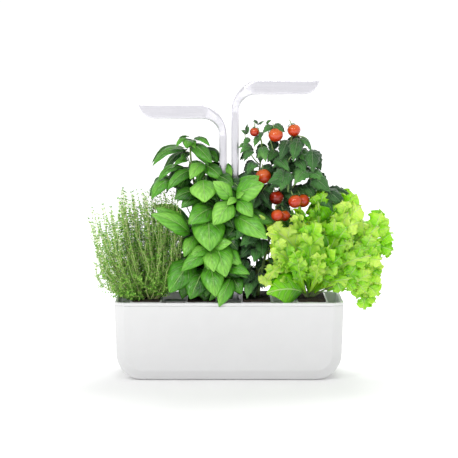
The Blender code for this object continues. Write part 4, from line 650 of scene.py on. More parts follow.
def spline(points, shares):
    """Places and directions along a smooth course through the points, at shares of its length."""
    points = np.array(points, dtype=float)
    if len(points) == 2:
        points = np.array([points[0], points.mean(axis=0), points[1]])
    runs = np.maximum(np.linalg.norm(np.diff(points, axis=0), axis=1), 1e-6)
    knots = np.concatenate(([0.0], np.cumsum(runs))) / runs.sum()
    slopes = np.gradient(points, knots, axis=0)
    slopes[0] = 2 * (points[1] - points[0]) / (knots[1] - knots[0]) - slopes[1]
    slopes[-1] = 2 * (points[-1] - points[-2]) / (knots[-1] - knots[-2]) - slopes[-2]
    shares = np.asarray(shares, dtype=float)
    spans = np.clip(np.searchsorted(knots, shares, side="right") - 1, 0, len(knots) - 2)
    width = (knots[spans + 1] - knots[spans])[:, None]
    t = ((shares - knots[spans]) / width[:, 0])[:, None]
    a, b = points[spans], points[spans + 1]
    u, v = slopes[spans] * width, slopes[spans + 1] * width
    places = ((2 * t**3 - 3 * t**2 + 1) * a + (t**3 - 2 * t**2 + t) * u
              + (3 * t**2 - 2 * t**3) * b + (t**3 - t**2) * v)
    ways = ((6 * t**2 - 6 * t) * a + (3 * t**2 - 4 * t + 1) * u
            + (6 * t - 6 * t**2) * b + (3 * t**2 - 2 * t) * v)
    return places, ways / np.maximum(np.linalg.norm(ways, axis=1), 1e-9)[:, None]


def laid(pattern, name, course, width, facing, twist=0.0, tone=0.5, height=None):
    """A copy of the pattern with its own mesh, laid along the course, its upper side facing the
    given way. Its height is its width, unless one is given."""
    piece = pattern.copy()
    piece.data = pattern.data.copy()
    piece.name = name
    bpy.context.scene.collection.objects.link(piece)
    local = places_of(piece)
    shares = local[:, 1]
    places, ways = spline(course, np.clip(shares, 0, 1))
    length = np.linalg.norm(np.diff(np.array(course, dtype=float), axis=0), axis=1).sum()
    places = places + ways * ((shares - np.clip(shares, 0, 1)) * length)[:, None]
    facing = unit(np.array(facing, dtype=float))
    up = facing[None, :] - ways * (ways @ facing)[:, None]
    up = up / np.maximum(np.linalg.norm(up, axis=1), 1e-6)[:, None]
    side = np.cross(ways, up)
    cos, sin = np.cos(twist * shares)[:, None], np.sin(twist * shares)[:, None]
    height = width if height is None else height
    put_places(piece, places + (side * cos + up * sin) * (local[:, 0] * width)[:, None]
               + (up * cos - side * sin) * (local[:, 2] * height)[:, None])
    shade = piece.data.attributes.get("tone")
    tones = np.full(len(local), 0.5)
    if shade:
        shade.data.foreach_get("value", tones)
    else:
        shade = piece.data.attributes.new("tone", "FLOAT", "POINT")
    shade.data.foreach_set("value", tones + tone - 0.5)
    return piece


def behind(point):
    """The same place at the back of the plant."""
    return np.array([point[0], -point[1] * REAR_SHARE, point[2]])


def under_leaves(table):
    """A second layer of leaves behind the table's own, turned a little aside, given lower tones as
    painted shade.
    """
    rows = []
    for row in table:
        across, down, depth, tip_across, tip_down, tip_depth, width, arch, front, tone, *twist = row
        if width < LEAST_LEAF_WITH_LAYER:
            continue
        swing = luck.uniform(-0.5, 0.5)
        reach, fall = tip_across - across, tip_down - down
        rows.append((across, down, min(depth + LAYER_GAP, 0),
                     across + reach * math.cos(swing) - fall * math.sin(swing),
                     down + reach * math.sin(swing) + fall * math.cos(swing),
                     min(tip_depth + LAYER_GAP, -4), width * luck.uniform(0.75, 0.95), arch, front,
                     max(0.04, tone - LAYER_SHADE), *twist))
    return tuple(rows)


def leaves_of(patterns, table, plant):
    """A plant's leaves from its table, each with a twin behind."""
    pieces = []
    for count, row in enumerate(table):
        width, arch, front, tone, *twist = row[6:]
        start, end = marked(*row[:3]), marked(*row[3:6])
        length = np.linalg.norm(end - start)
        for back in (False, True):
            a, m, b = start, (start + end) / 2, end
            way = np.array([0.0, -front, 1.05 - front])
            shift = 0
            if back:
                a, m, b = behind(a), behind(m), behind(b)
                way[1] = front
            m = m + arch * length * way / np.linalg.norm(way)
            if back:
                shift = np.array([luck.uniform(-1, 1), 0, luck.uniform(-1, 1)]) * TWIN_SHIFT
            # Painted shade: the twin behind gets a lower tone.
            pieces.append(laid(patterns[count % len(patterns)], f"{plant}_leaf_{count}",
                               (a + shift, m + shift, b + shift),
                               width * PIXEL * (TWIN_SHARE if back else 1.0), way, sum(twist),
                               tone + luck.uniform(-0.20, 0.14) - (TWIN_SHADE if back else 0.0)))
    return pieces


def stems_of(pattern, table, plant):
    """Stems from their table: the thickness at the foot in millimetres, then the places passed."""
    return [laid(pattern, f"{plant}_stem_{count}", [marked(*place) for place in places],
                 girth * MM, (1, 0.01, 0.02), tone=luck.uniform(0.3, 0.8))
            for count, (girth, *places) in enumerate(table)]


LAYER_GAP = 24              # millimetres
# Painted shade: how much darker the second layer of leaves is made.
LAYER_SHADE = 0.26
LEAST_LEAF_WITH_LAYER = 9   # pixels
TWIN_SHIFT = 0.004
TWIN_SHARE = 0.95
# Painted shade: how much darker the twins behind are made.
TWIN_SHADE = 0.12


# Basil and tomato. A leaf is where its foot is and where its tip is (across and down in the
# photograph, depth in millimetres), its width in pixels, how far its middle is raised, how much it
# faces the viewer and its tone, with its twist at the end where it has one. The tones carry painted
# shade: the leaves deep inside the plant are given low tones.

BASIL_LEAVES = (
    (188, 139, -10, 176, 147, -30, 7, .25, .2, .35),
    (194, 138, -10, 210, 146, -30, 8, .2, .3, .35),
    (190, 141, -8, 186, 148, -45, 9, .2, .6, .6),
    (190, 141, 4, 195, 148, -30, 8, .2, .6, .55),
    (192, 144, -10, 212, 163, -50, 13, .14, .6, .45),
    (207, 148, 20, 220, 161, 10, 10, .15, .6, .35),
    (186, 150, -10, 152, 166, -30, 11, .24, .35, .4),
    (184, 167, -15, 157, 182, -35, 11, .26, .35, .4),
    (188, 160, -10, 174, 165, -30, 7, .2, .5, .5),
    (186, 152, -8, 182, 160, -30, 6, .1, .6, .35),
    (203, 163, -20, 190, 179, -60, 13, .18, .6, .75),
    (204, 165, -12, 224, 181, -40, 14, .18, .6, .25),
    (194, 170, -18, 167, 190, -50, 13, .2, .5, .5),
    (174, 180, -15, 151, 199, -45, 14, .25, .45, .5),
    (203, 180, -50, 205, 202, -88, 24, .16, .85, .7),
    (199, 192, -20, 174, 199, -50, 16, .2, .6, .25),
    (201, 196, -20, 181, 208, -50, 13, .2, .6, .4),
    (206, 197, -18, 192, 212, -45, 12, .2, .6, .3),
    (232, 199, -60, 213, 181, -78, 14, .18, .75, .7),
    (236, 195, -60, 264, 184, -85, 20, .16, .8, .8),
    (232, 202, -62, 213, 225, -90, 19, .18, .8, .72),
    (238, 200, -62, 253, 217, -85, 14, .18, .75, .75),
    (236, 198, -58, 227, 205, -82, 7, .2, .75, .85),
    (236, 197, -58, 244, 193, -82, 7, .2, .75, .85),
    (235, 217, -50, 268, 239, -88, 20, .22, .75, .68),
    (190, 234, -45, 151, 214, -85, 17, .24, .7, .76),
    (214, 208, -40, 188, 224, -80, 20, .2, .7, .62),
    (208, 214, -46, 210, 251, -92, 28, .12, .85, .68),
    (196, 236, -40, 184, 257, -75, 13, .18, .7, .5),
    (208, 249, -60, 190, 257, -86, 11, .22, .7, .68),
    (208, 253, -62, 181, 271, -90, 14, .22, .7, .66),
    (210, 251, -62, 214, 272, -98, 15, .24, .8, .85),
    (216, 243, -50, 226, 277, -97, 23, .16, .85, .72),
    (213, 247, -56, 232, 242, -80, 12, .24, .75, .8),
    (193, 259, -45, 169, 293, -85, 24, .16, .8, .36),
    (204, 268, -48, 190, 299, -90, 23, .14, .85, .4),
    (210, 262, -55, 216, 297, -94, 20, .14, .85, .5),
    (231, 278, -60, 219, 307, -96, 14, .18, .8, .52),
    (228, 268, -55, 250, 274, -85, 11, .24, .7, .6),
    (231, 276, -45, 242, 294, -70, 14, .2, .8, .25),
    (221, 250, -45, 242, 266, -75, 14, .22, .7, .55),
    (228, 163, 34, 230, 177, 36, 6, .1, .8, .75),
    (208, 174, 30, 222, 190, 36, 14, .2, .6, .2),
    (196, 196, -10, 216, 205, -35, 15, .2, .6, .12),
    (206, 225, -10, 228, 232, -40, 16, .2, .7, .1),
    (206, 232, -8, 188, 246, -35, 18, .2, .7, .1),
    (206, 246, -8, 230, 258, -35, 18, .2, .7, .1),
    (204, 254, -8, 178, 268, -30, 18, .2, .7, .1),
    (206, 262, -8, 232, 282, -30, 18, .2, .7, .12),
    (202, 276, -10, 184, 290, -30, 16, .2, .8, .12),
    (226, 226, -30, 222, 240, -55, 12, .2, .7, .35),
    (224, 232, -30, 236, 240, -55, 10, .2, .7, .3),
    (212, 188, -20, 219, 202, -48, 13, .2, .8, .14),
    (218, 176, -34, 234, 186, -54, 13, .2, .7, .16),
    (228, 180, -34, 243, 191, -54, 14, .2, .7, .12),
    (222, 188, -34, 234, 203, -58, 15, .2, .7, .18),
    (230, 204, -34, 242, 218, -58, 15, .2, .7, .1),
    (224, 212, -34, 234, 228, -58, 15, .2, .8, .14),
    (240, 208, -34, 228, 222, -50, 12, .2, .8, .2),
    (224, 236, -34, 238, 250, -58, 16, .2, .8, .12),
    (238, 224, -34, 227, 238, -58, 15, .2, .8, .1),
    (228, 248, -34, 237, 264, -58, 15, .2, .8, .16),
    (224, 262, -34, 240, 278, -58, 16, .2, .8, .1),
    (234, 270, -34, 235, 292, -58, 15, .2, .8, .16),
    (222, 282, -34, 232, 299, -58, 14, .2, .8, .14),
    (212, 284, -34, 206, 300, -58, 14, .2, .8, .12),
)

BASIL_STEMS = (
    (5.5, (203, 300, 0), (202, 270, -4), (200, 235, -10), (198, 205, -10), (192, 170, -8),
     (190, 141, -6)),
    (4, (206, 300, -6), (212, 270, -20), (222, 240, -40), (229, 219, -50), (234, 197, -58)),
    (3.5, (204, 300, -6), (207, 280, -24), (209, 262, -46), (209, 250, -60)),
    (3.6, (200, 300, 6), (206, 240, 20), (204, 200, 16), (204, 178, 4), (203, 163, -16)),
    (3.2, (199, 300, 4), (196, 262, -12), (194, 236, -40)),
    (2.6, (200, 235, -10), (186, 205, -12), (174, 180, -14)),
    (2.2, (192, 170, -8), (188, 158, -8), (185, 150, -8)),
    (2.6, (205, 300, 8), (216, 282, -20), (230, 277, -56)),
    (2.2, (204, 180, 4), (206, 160, 12), (207, 148, 20)),
    (3.6, (202, 300, 12), (210, 262, 40), (214, 228, 52), (212, 196, 50)),
    (3.2, (198, 300, 12), (192, 262, 40), (190, 234, 50)),
)


def grow_basil():
    leaf = coated(basil_pattern(), finishes["basil_leaf"])
    stem = coated(stem_pattern(), green_stem)
    pieces = leaves_of([leaf], BASIL_LEAVES + under_leaves(BASIL_LEAVES), "basil")
    pieces += stems_of(stem, BASIL_STEMS, "basil")
    discard(leaf, stem)
    settle(joined("basil", pieces), "basil_plant")


TOMATO_LEAVES = (
    (298, 138, -20, 293, 162, -50, 16, .16, .75, .3),
    (288, 140, -15, 280, 160, -45, 15, .16, .75, .22),
    (300, 138, -20, 312, 152, -30, 8, .26, .45, .3),
    (312, 150, -30, 313, 173, -45, 17, .16, .8, .42),
    (276, 158, -15, 290, 172, -45, 14, .2, .7, .3),
    (288, 158, -10, 272, 168, -30, 12, .2, .7, .35),
    (290, 178, -30, 268, 182, -70, 24, .2, .8, .42),
    (284, 172, -34, 281, 190, -70, 22, .2, .85, .38),
    (306, 170, -20, 294, 184, -55, 17, .2, .75, .6),
    (298, 160, -14, 306, 172, -40, 13, .2, .7, .5),
    (312, 178, -25, 331, 192, -55, 18, .2, .75, .36),
    (308, 172, -20, 326, 182, -45, 14, .2, .6, .34),
    (326, 190, -30, 346, 208, -45, 15, .2, .75, .18),
    (320, 196, -20, 334, 212, -40, 14, .2, .75, .18),
    (262, 147, -16, 266, 162, -40, 12, .2, .75, .62),
    (266, 150, -12, 257, 158, -30, 10, .2, .7, .7),
    (250, 146, -20, 240, 154, -40, 9, .3, .7, .48, .6),
    (252, 150, -20, 243, 162, -40, 9, .3, .75, .42, -.6),
    (246, 145, -18, 238, 148, -30, 6, .3, .7, .5),
    (249, 138, -16, 243, 147, -30, 7, .2, .75, .6),
    (254, 162, -20, 247, 176, -45, 10, .2, .75, .5),
    (256, 164, -16, 251, 170, -45, 9, .2, .75, .4),
    (272, 126, -12, 263, 133, -35, 9, .2, .7, .3),
    (274, 125, -12, 284, 132, -35, 9, .2, .7, .28),
    (258, 137, -14, 254, 147, -30, 7, .2, .75, .4),
    (262, 132, -14, 259, 141, -30, 5, .2, .75, .45),
    (246, 134, -16, 241, 130, -26, 4, .1, .6, .35),
    (247, 133, -16, 249, 126, -26, 3.5, .1, .6, .35),
    (258, 124, -14, 253, 121, -24, 3.5, .1, .6, .4),
    (260, 124, -14, 264, 121, -24, 3.5, .1, .6, .4),
    (266, 123, -12, 271, 120, -22, 4, .1, .6, .4),
    (256, 178, -20, 240, 184, -50, 13, .24, .6, .4),
    (254, 176, -16, 243, 177, -40, 8, .24, .5, .42),
    (257, 196, -20, 252, 210, -55, 15, .16, .85, .34),
    (262, 192, -16, 268, 204, -45, 13, .2, .75, .16),
    (260, 216, -24, 244, 226, -45, 15, .2, .75, .14),
    (256, 228, -24, 245, 247, -60, 19, .2, .8, .22),
    (262, 240, -20, 262, 258, -50, 17, .2, .8, .16),
    (252, 246, -24, 240, 258, -55, 15, .2, .75, .2),
    (258, 248, -24, 254, 262, -60, 16, .2, .8, .26),
    (270, 228, -16, 280, 244, -40, 16, .2, .75, .14),
    (276, 214, -20, 288, 222, -40, 13, .2, .75, .16),
    (292, 222, -14, 302, 234, -40, 14, .2, .75, .22),
    (288, 218, -14, 294, 230, -36, 13, .2, .75, .24),
    (272, 258, -16, 277, 268, -40, 10, .2, .75, .2),
    (250, 281, -40, 247, 298, -80, 13, .16, .85, .46),
    (258, 274, -30, 265, 288, -60, 14, .2, .8, .2),
    (256, 276, -28, 254, 289, -60, 11, .2, .8, .24),
    (266, 184, -10, 272, 196, -30, 12, .2, .75, .12),
    (284, 186, -10, 292, 194, -30, 12, .2, .75, .14),
    (274, 142, 10, 270, 152, -10, 12, .2, .7, .2),
    (292, 146, 10, 302, 156, -5, 12, .2, .7, .2),
    (280, 164, 10, 300, 168, -10, 16, .2, .7, .15),
    (262, 182, 12, 248, 196, -15, 16, .2, .7, .12),
    (268, 206, 10, 256, 218, -15, 16, .2, .75, .12),
    (274, 226, 10, 262, 236, -15, 16, .2, .75, .12),
    (268, 246, 10, 256, 254, -10, 16, .2, .75, .12),
    (268, 262, 10, 258, 274, -10, 14, .2, .8, .14),
    (250, 184, -34, 235, 193, -36, 15, .2, .7, .2),
    (247, 190, -34, 253, 206, -58, 16, .2, .8, .55),
    (240, 194, -34, 247, 210, -58, 15, .2, .8, .34),
    (252, 210, -34, 239, 224, -58, 16, .2, .8, .16),
    (247, 221, -34, 236, 240, -58, 17, .2, .8, .22),
    (254, 234, -34, 240, 246, -58, 16, .2, .8, .26),
    (246, 260, -34, 238, 276, -58, 15, .2, .8, .16),
    (252, 270, -34, 243, 286, -58, 15, .2, .8, .22),
    (262, 196, -4, 272, 210, -34, 16, .2, .75, .16),
    (272, 194, -2, 284, 206, -30, 16, .2, .75, .2),
    (282, 190, -2, 296, 200, -30, 16, .2, .75, .24),
    (294, 188, -2, 306, 202, -30, 16, .2, .75, .18),
    (304, 184, -4, 316, 200, -34, 15, .2, .75, .24),
    (262, 212, -4, 250, 222, -34, 14, .2, .75, .18),
    (264, 212, -2, 276, 224, -30, 15, .2, .75, .14),
    (278, 206, -2, 290, 216, -30, 14, .2, .75, .16),
    (276, 150, -4, 268, 162, -24, 12, .2, .75, .24),
    (282, 150, -4, 290, 162, -30, 13, .2, .75, .2),
    (300, 150, -4, 308, 164, -30, 13, .2, .75, .3),
    (272, 166, -4, 262, 176, -30, 13, .2, .75, .26),
)

TOMATO_STEMS = (
    (5.5, (257, 300, -4), (262, 270, -8), (269, 240, -10), (276, 210, -12), (284, 180, -12),
     (290, 145, -10), (292, 136, -10)),
    (4.5, (256, 300, 4), (257, 250, 6), (256, 205, 2), (260, 165, -6), (262, 145, -12),
     (258, 128, -14)),
    (3.2, (276, 210, -12), (290, 190, -16), (306, 176, -20), (322, 190, -26), (334, 200, -30)),
    (2.6, (284, 180, -12), (276, 160, -14), (272, 146, -12), (267, 126, -12)),
    (2.2, (292, 136, -10), (299, 136, -16), (306, 138, -22), (311, 148, -28), (309, 160, -34)),
    (2.2, (258, 270, -10), (252, 266, -26), (246, 272, -36), (243, 284, -44)),
    (2.2, (258, 275, -12), (264, 266, -24), (272, 268, -30), (276, 276, -34)),
    (2.4, (286, 166, -12), (288, 178, -50), (288, 192, -58)),
    (2.2, (260, 165, -6), (252, 156, -16), (247, 146, -18), (245, 132, -18)),
    (1.8, (284, 180, -12), (290, 158, -30), (299, 150, -34), (303, 143, -30)),
    (2.2, (256, 205, 2), (262, 192, -20), (268, 184, -30)),
    (2, (269, 240, -10), (272, 262, -20), (275, 258, -16)),
    (4, (258, 300, 10), (266, 250, 40), (278, 205, 50), (284, 170, 46), (280, 140, 34)),
)


def grow_tomato():
    leaflets = [coated(tomato_pattern(seed), finishes["tomato_leaf"]) for seed in range(3)]
    stem = coated(stem_pattern(), green_stem)
    leaves = leaves_of(leaflets, TOMATO_LEAVES + under_leaves(TOMATO_LEAVES), "tomato")
    pieces = leaves[0::2] + stems_of(stem, TOMATO_STEMS, "tomato")
    sepal = coated(plump_leaf_pattern(), finishes["tomato_leaf"])
    for number in FRUITS:
        pieces += calyx(number, sepal, stem)
    discard(*leaflets, stem, sepal)
    for name, own in (("tomato_vine", pieces), ("tomato_vine_rear", leaves[1::2])):
        settle(joined(name, own), "tomato_plant")


def calyx(number, sepal, stem):
    """The star of sepals on a fruit, and its stalk."""
    heart, radius, way = fruit_place(number)
    top = heart + way * radius * 0.96
    side = unit(np.cross(way, (0.3, 0.9, 0.2)))
    other = np.cross(way, side)
    pieces = []
    for point in range(SEPALS):
        turn = 2 * math.pi * point / SEPALS + 0.4 * number
        out = side * math.cos(turn) + other * math.sin(turn)
        course = (top, top + out * radius * 0.55 + way * 0.0008,
                  top + out * radius * 0.95 - way * radius * 0.25)
        pieces.append(laid(sepal, f"tomato_sepal_{number}_{point}", course, 3 * MM, way, tone=0.55))
    course = (top - way * 0.001, top + way * 0.005, top + way * 0.008 + np.array([0, 0.008, 0.001]))
    pieces.append(laid(stem, f"tomato_stalk_{number}", course, 2 * MM, (1, 0.1, 0), tone=0.6))
    return pieces


def fruit_place(number):
    """A fruit's heart and radius, and which way its stalk points: up and towards the main stem."""
    low, high = (np.array(corner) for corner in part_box(f"tomato_{number}"))
    heart = (low + high) / 2
    inwards = unit(np.array([0.052, 0.0, heart[2] + 0.06]) - heart)
    return heart, (high[0] - low[0]) / 2, unit(inwards * 0.7 + np.array([0, -0.10, 0.75]))


def ripen_fruits():
    pattern = coated(fruit_pattern(), finishes["tomato_skin"])
    for number, ripe in zip(FRUITS, RIPENESS):
        heart, radius, way = fruit_place(number)
        tall = radius * 0.95
        fruit = laid(pattern, f"fruit_{number}", (heart - way * tall, heart, heart + way * tall),
                     2 * radius, (0, -1, 0.1))
        # Painted light: the tone rises on the side that faces up and towards the camera, and falls
        # below as painted shade.
        light = (places_of(fruit) - heart) @ np.array([-0.15, -0.35, 0.92]) / radius
        tones = np.clip(0.40 + 0.52 * light + ripe, 0, 1)
        fruit.data.attributes["tone"].data.foreach_set("value", tones)
        settle(fruit, f"tomato_{number}")
    discard(pattern)


SEPALS = 5
RIPENESS = (0.05, 0.30, 0.22, 0.20, -0.30, 0.02, 0.05, 0.08, 0.08)


# Lettuce. A blade is its foot, middle and tip (across, down, depth in millimetres), its width in
# pixels, how much it faces the viewer and its tone. The tones carry painted shade: the blades deep
# inside the head are given low tones.

LETTUCE_BLADES = (
    ((302, 292, -44), (288, 289, -70), (267, 293, -90), 30, .85, .3),
    ((302, 276, -30), (286, 266, -55), (263, 284, -85), 13, .8, .85),
    ((304, 286, -28), (294, 266, -50), (276, 250, -80), 20, .8, .7),
    ((306, 280, -24), (296, 250, -46), (274, 230, -78), 24, .8, .92),
    ((296, 262, -10), (280, 236, -44), (260, 215, -70), 15, .75, .8),
    ((306, 270, -16), (302, 240, -40), (296, 216, -66), 17, .8, .82),
    ((310, 272, -6), (318, 230, -24), (318, 196, -36), 18, .8, .6),
    ((308, 292, -30), (310, 258, -56), (310, 228, -80), 24, .85, .55),
    ((309, 293, -40), (316, 276, -62), (318, 256, -88), 15, .85, .72),
    ((306, 294, -40), (300, 276, -62), (298, 254, -88), 16, .85, .62),
    ((316, 280, 0), (330, 240, -14), (345, 199, -30), 24, .75, .62),
    ((314, 288, -10), (334, 246, -34), (350, 206, -60), 30, .8, .82),
    ((316, 286, -4), (348, 254, -24), (384, 222, -46), 24, .75, .7),
    ((318, 286, -12), (350, 258, -40), (389, 242, -60), 25, .8, .6),
    ((340, 270, 0), (370, 254, -20), (391, 252, -32), 12, .7, .5),
    ((316, 290, -20), (344, 264, -52), (377, 256, -76), 22, .8, .74),
    ((318, 288, -14), (350, 270, -48), (381, 272, -66), 15, .75, .78),
    ((314, 293, -26), (340, 280, -60), (378, 288, -84), 22, .8, .7),
    ((322, 288, -20), (350, 278, -54), (370, 305, -78), 18, .8, .62),
    ((312, 280, 4), (322, 240, -4), (332, 200, -18), 24, .75, .45),
    ((312, 288, -10), (326, 258, -30), (338, 232, -52), 26, .8, .5),
    ((311, 292, -24), (322, 276, -50), (334, 258, -74), 22, .8, .6),
    ((304, 293, -30), (296, 288, -50), (282, 280, -70), 11, .8, .6),
    ((310, 290, -4), (318, 250, -12), (324, 214, -26), 28, .8, .3),
    ((308, 286, 2), (300, 250, -8), (292, 224, -22), 24, .8, .2),
    ((314, 290, 0), (336, 262, -8), (362, 236, -20), 28, .8, .35),
    ((312, 292, -8), (326, 280, -20), (348, 272, -34), 20, .8, .35),
    ((308, 290, -10), (304, 268, -20), (304, 246, -34), 22, .8, .25),
)

LETTUCE_RIBS = (
    (4.5, (308, 298, -10), (300, 284, -24), (294, 268, -44)),
    (4.5, (310, 298, -8), (318, 282, -20), (330, 262, -30)),
    (3.6, (311, 298, -8), (324, 290, -24), (345, 284, -50)),
    (4, (308, 298, -6), (309, 280, -20), (310, 262, -40)),
    (3.2, (306, 298, -8), (302, 292, -30), (296, 287, -55)),
    (4, (311, 298, 2), (322, 276, 10), (338, 254, 20)),
    (4, (307, 298, 2), (302, 276, 12), (298, 254, 24)),
)


def grow_lettuce():
    """Blades, each with ruffled lobes standing off both its sides and its top."""
    blades = [coated(lettuce_pattern(f"blade_pattern_{seed}", 20, widths, frill, waves, seed),
                     finishes["lettuce_leaf"])
              for seed, (widths, frill, waves) in enumerate(LETTUCE_FORMS)]
    lobes = [coated(lettuce_pattern(f"lobe_pattern_{seed}", 10, LOBE_WIDTHS, 0.20, 6 + seed, seed),
                    finishes["lettuce_leaf"]) for seed in range(3)]
    stem = coated(stem_pattern(), pale_rib)
    for back in (False, True):
        pieces = [] if back else stems_of(stem, LETTUCE_RIBS, "lettuce")
        for count, (*course, width, front, tone) in enumerate(LETTUCE_BLADES):
            course = [marked(*place) for place in course]
            way = np.array([0, -front, 1.05 - front])
            if back:
                course = [behind(place) for place in course]
                way[1] = front
                # Painted shade: the blades at the back of the head are darker.
                tone -= 0.15
            plain = count in ROUND_BLADES
            pattern = blades[0] if plain else blades[1 + count % (len(blades) - 1)]
            share = 1.0 if plain else BLADE_SHARE
            pieces.append(laid(pattern, f"lettuce_blade_{count}", course, width * share * PIXEL,
                               way, tone=tone))
            if not plain:
                pieces += lobes_along(lobes, course, width * PIXEL, way, tone)
        settle(joined("lettuce_rear" if back else "lettuce_front", pieces),
               "lettuce_plant")
    discard(*blades, *lobes, stem)


def lobes_along(patterns, course, width, way, tone):
    """The lobes of one blade: the low ones stand sideways, the top ones point on."""
    pieces = []
    for step, share in enumerate(LOBE_PLACES):
        (place,), (onwards,) = spline(course, [share])
        sideways = unit(np.cross(onwards, way))
        for side in (-1, 1):
            rise = math.radians(10 + 68 * share**2 + luck.uniform(-12, 12))
            out = sideways * side * math.cos(rise) + onwards * math.sin(rise)
            length = width * (0.42 + 0.18 * share) * luck.uniform(0.75, 1.2)
            foot = place + sideways * side * width * 0.10
            tip = foot + out * length + way * length * luck.uniform(-0.30, 0.45)
            middle = (foot + tip) / 2 + way * length * luck.uniform(0.05, 0.22)
            facing = (way + sideways * luck.uniform(-0.6, 0.6)
                      + onwards * luck.uniform(-0.5, 0.5))
            # Painted shade: the lobes low on a blade, near its foot, are given lower tones.
            pieces.append(laid(patterns[(step + (side > 0)) % len(patterns)], "lettuce_lobe",
                               (foot, middle, tip), length * luck.uniform(0.95, 1.25), facing,
                               luck.uniform(-0.5, 0.5),
                               tone - 0.22 * (1 - share) + luck.uniform(-0.20, 0.24)))
    return pieces


ROUND_BLADES = (0, 4)   # the rows of the smooth leaves, which have no lobes
BLADE_SHARE = 0.72      # how much of a blade's width is left without its lobes
LOBE_PLACES = (0.42, 0.58, 0.74, 0.90)
LOBE_WIDTHS = (0.34, 0.66, 0.90, 1.06, 1.14, 1.16, 1.10, 0.98, 0.80)
LETTUCE_FORMS = (       # widths, height of the frill, waves round the rim
    ((0.14, 0.50, 0.80, 0.98, 1.06, 1.08, 1.04, 0.94, 0.76, 0.46), 0.04, 5),
    ((0.12, 0.16, 0.26, 0.46, 0.70, 0.92, 1.08, 1.18, 1.24, 1.22, 1.12, 0.92), 0.22, 8),
    ((0.12, 0.14, 0.22, 0.38, 0.66, 0.96, 1.16, 1.26, 1.28, 1.22, 1.08, 0.86), 0.26, 7),
    ((0.14, 0.20, 0.34, 0.56, 0.80, 1.00, 1.12, 1.20, 1.22, 1.18, 1.06, 0.90), 0.24, 10),
)


# Thyme

def sprig_pattern(name, whorls, seed, leaf_length):
    """A sprig: a bare wiry foot, then whorls of tiny leaves, each turned from the one below, and
    short side shoots."""
    chance = random.Random(seed)
    stem = coated(stem_pattern(), thyme_stem)
    leaf = coated(plump_leaf_pattern(), finishes["thyme_leaf"])
    twig = coated(plump_leaf_pattern(), thyme_stem)
    upright = ((0, 0, 0), (0, SPRIG_LENGTH / 2, 0), (0, SPRIG_LENGTH, 0))
    pieces = [laid(stem, "sprig_stem", upright, SPRIG_GIRTH, (0, 0, 1), tone=0.7)]

    def set_leaf(foot, way, size):
        tip = foot + unit(way) * size
        course = (foot, (foot + tip) / 2 + np.array([0, 0.0003, 0]), tip)
        facing = (chance.uniform(-0.7, 0.7), 1, chance.uniform(-0.7, 0.7))
        pieces.append(laid(leaf, "sprig_leaf", course, 0.56 * size, facing,
                           tone=chance.uniform(0.05, 1.0)))

    for whorl in range(whorls):
        share = whorl / (whorls - 1)
        start = math.pi / 2 * whorl + chance.uniform(-0.5, 0.5)
        for turn, size in ((start, 1.0), (start + math.pi, 1.0),
                           (start + 1.2, 0.62), (start + math.pi + 1.2, 0.62)):
            foot = (0.10 + 0.90 * share) * SPRIG_LENGTH + chance.uniform(0, 0.0015)
            way = np.array([math.cos(turn), chance.uniform(-0.1, 0.9), math.sin(turn)])
            set_leaf(np.array([0, foot, 0]), way,
                     size * chance.uniform(0.8, 1.15) * (1 - 0.2 * share) * leaf_length)
    for shoot in range(SIDE_SHOOTS):
        turn = 2.4 * shoot + chance.uniform(-0.4, 0.4)
        foot = np.array([0, (0.16 + 0.10 * shoot) * SPRIG_LENGTH, 0])
        way = np.array([0.55 * math.cos(turn), 1.0, 0.55 * math.sin(turn)])
        tip = foot + way * chance.uniform(0.014, 0.028)
        pieces.append(laid(twig, "side_shoot", (foot, (foot + tip) / 2, tip), 0.8 * SPRIG_GIRTH,
                           (1, 0, 0.3), tone=0.7))
        for step in (0.3, 0.52, 0.74, 0.98):
            for side in (0, math.pi, math.pi / 2):
                aside = turn + side + 2.0 * step
                set_leaf(foot + (tip - foot) * step,
                         np.array([math.cos(aside), 0.6, math.sin(aside)]),
                         leaf_length * chance.uniform(0.55, 0.95))
    discard(stem, leaf, twig)
    sprig = joined(name, pieces)
    sprig.data.transform(Matrix.Diagonal((1 / SPRIG_GIRTH, 1 / SPRIG_LENGTH, 1 / SPRIG_GIRTH, 1)))
    return sprig


def grow_thyme():
    """The first pod's sprigs, fanning out; the crown's outline follows the photograph."""
    sprigs = [sprig_pattern(f"sprig_pattern_{count}", whorls, count, leaf_length)
              for count, (whorls, leaf_length) in enumerate(SPRIG_FORMS)]
    courses = list(thyme_courses())
    for bunch in range(THYME_BUNCHES):
        pieces = [laid(sprigs[count % len(sprigs)], f"thyme_sprig_{count}", course, SPRIG_GIRTH,
                       (0.3, -1, 0.2), twist=luck.uniform(-1.5, 1.5), tone=tone)
                  for count, (course, tone) in enumerate(courses)
                  if count * THYME_BUNCHES // len(courses) == bunch]
        settle(joined(f"thyme_{bunch + 1}", pieces), "thyme_plant")
    discard(*sprigs)


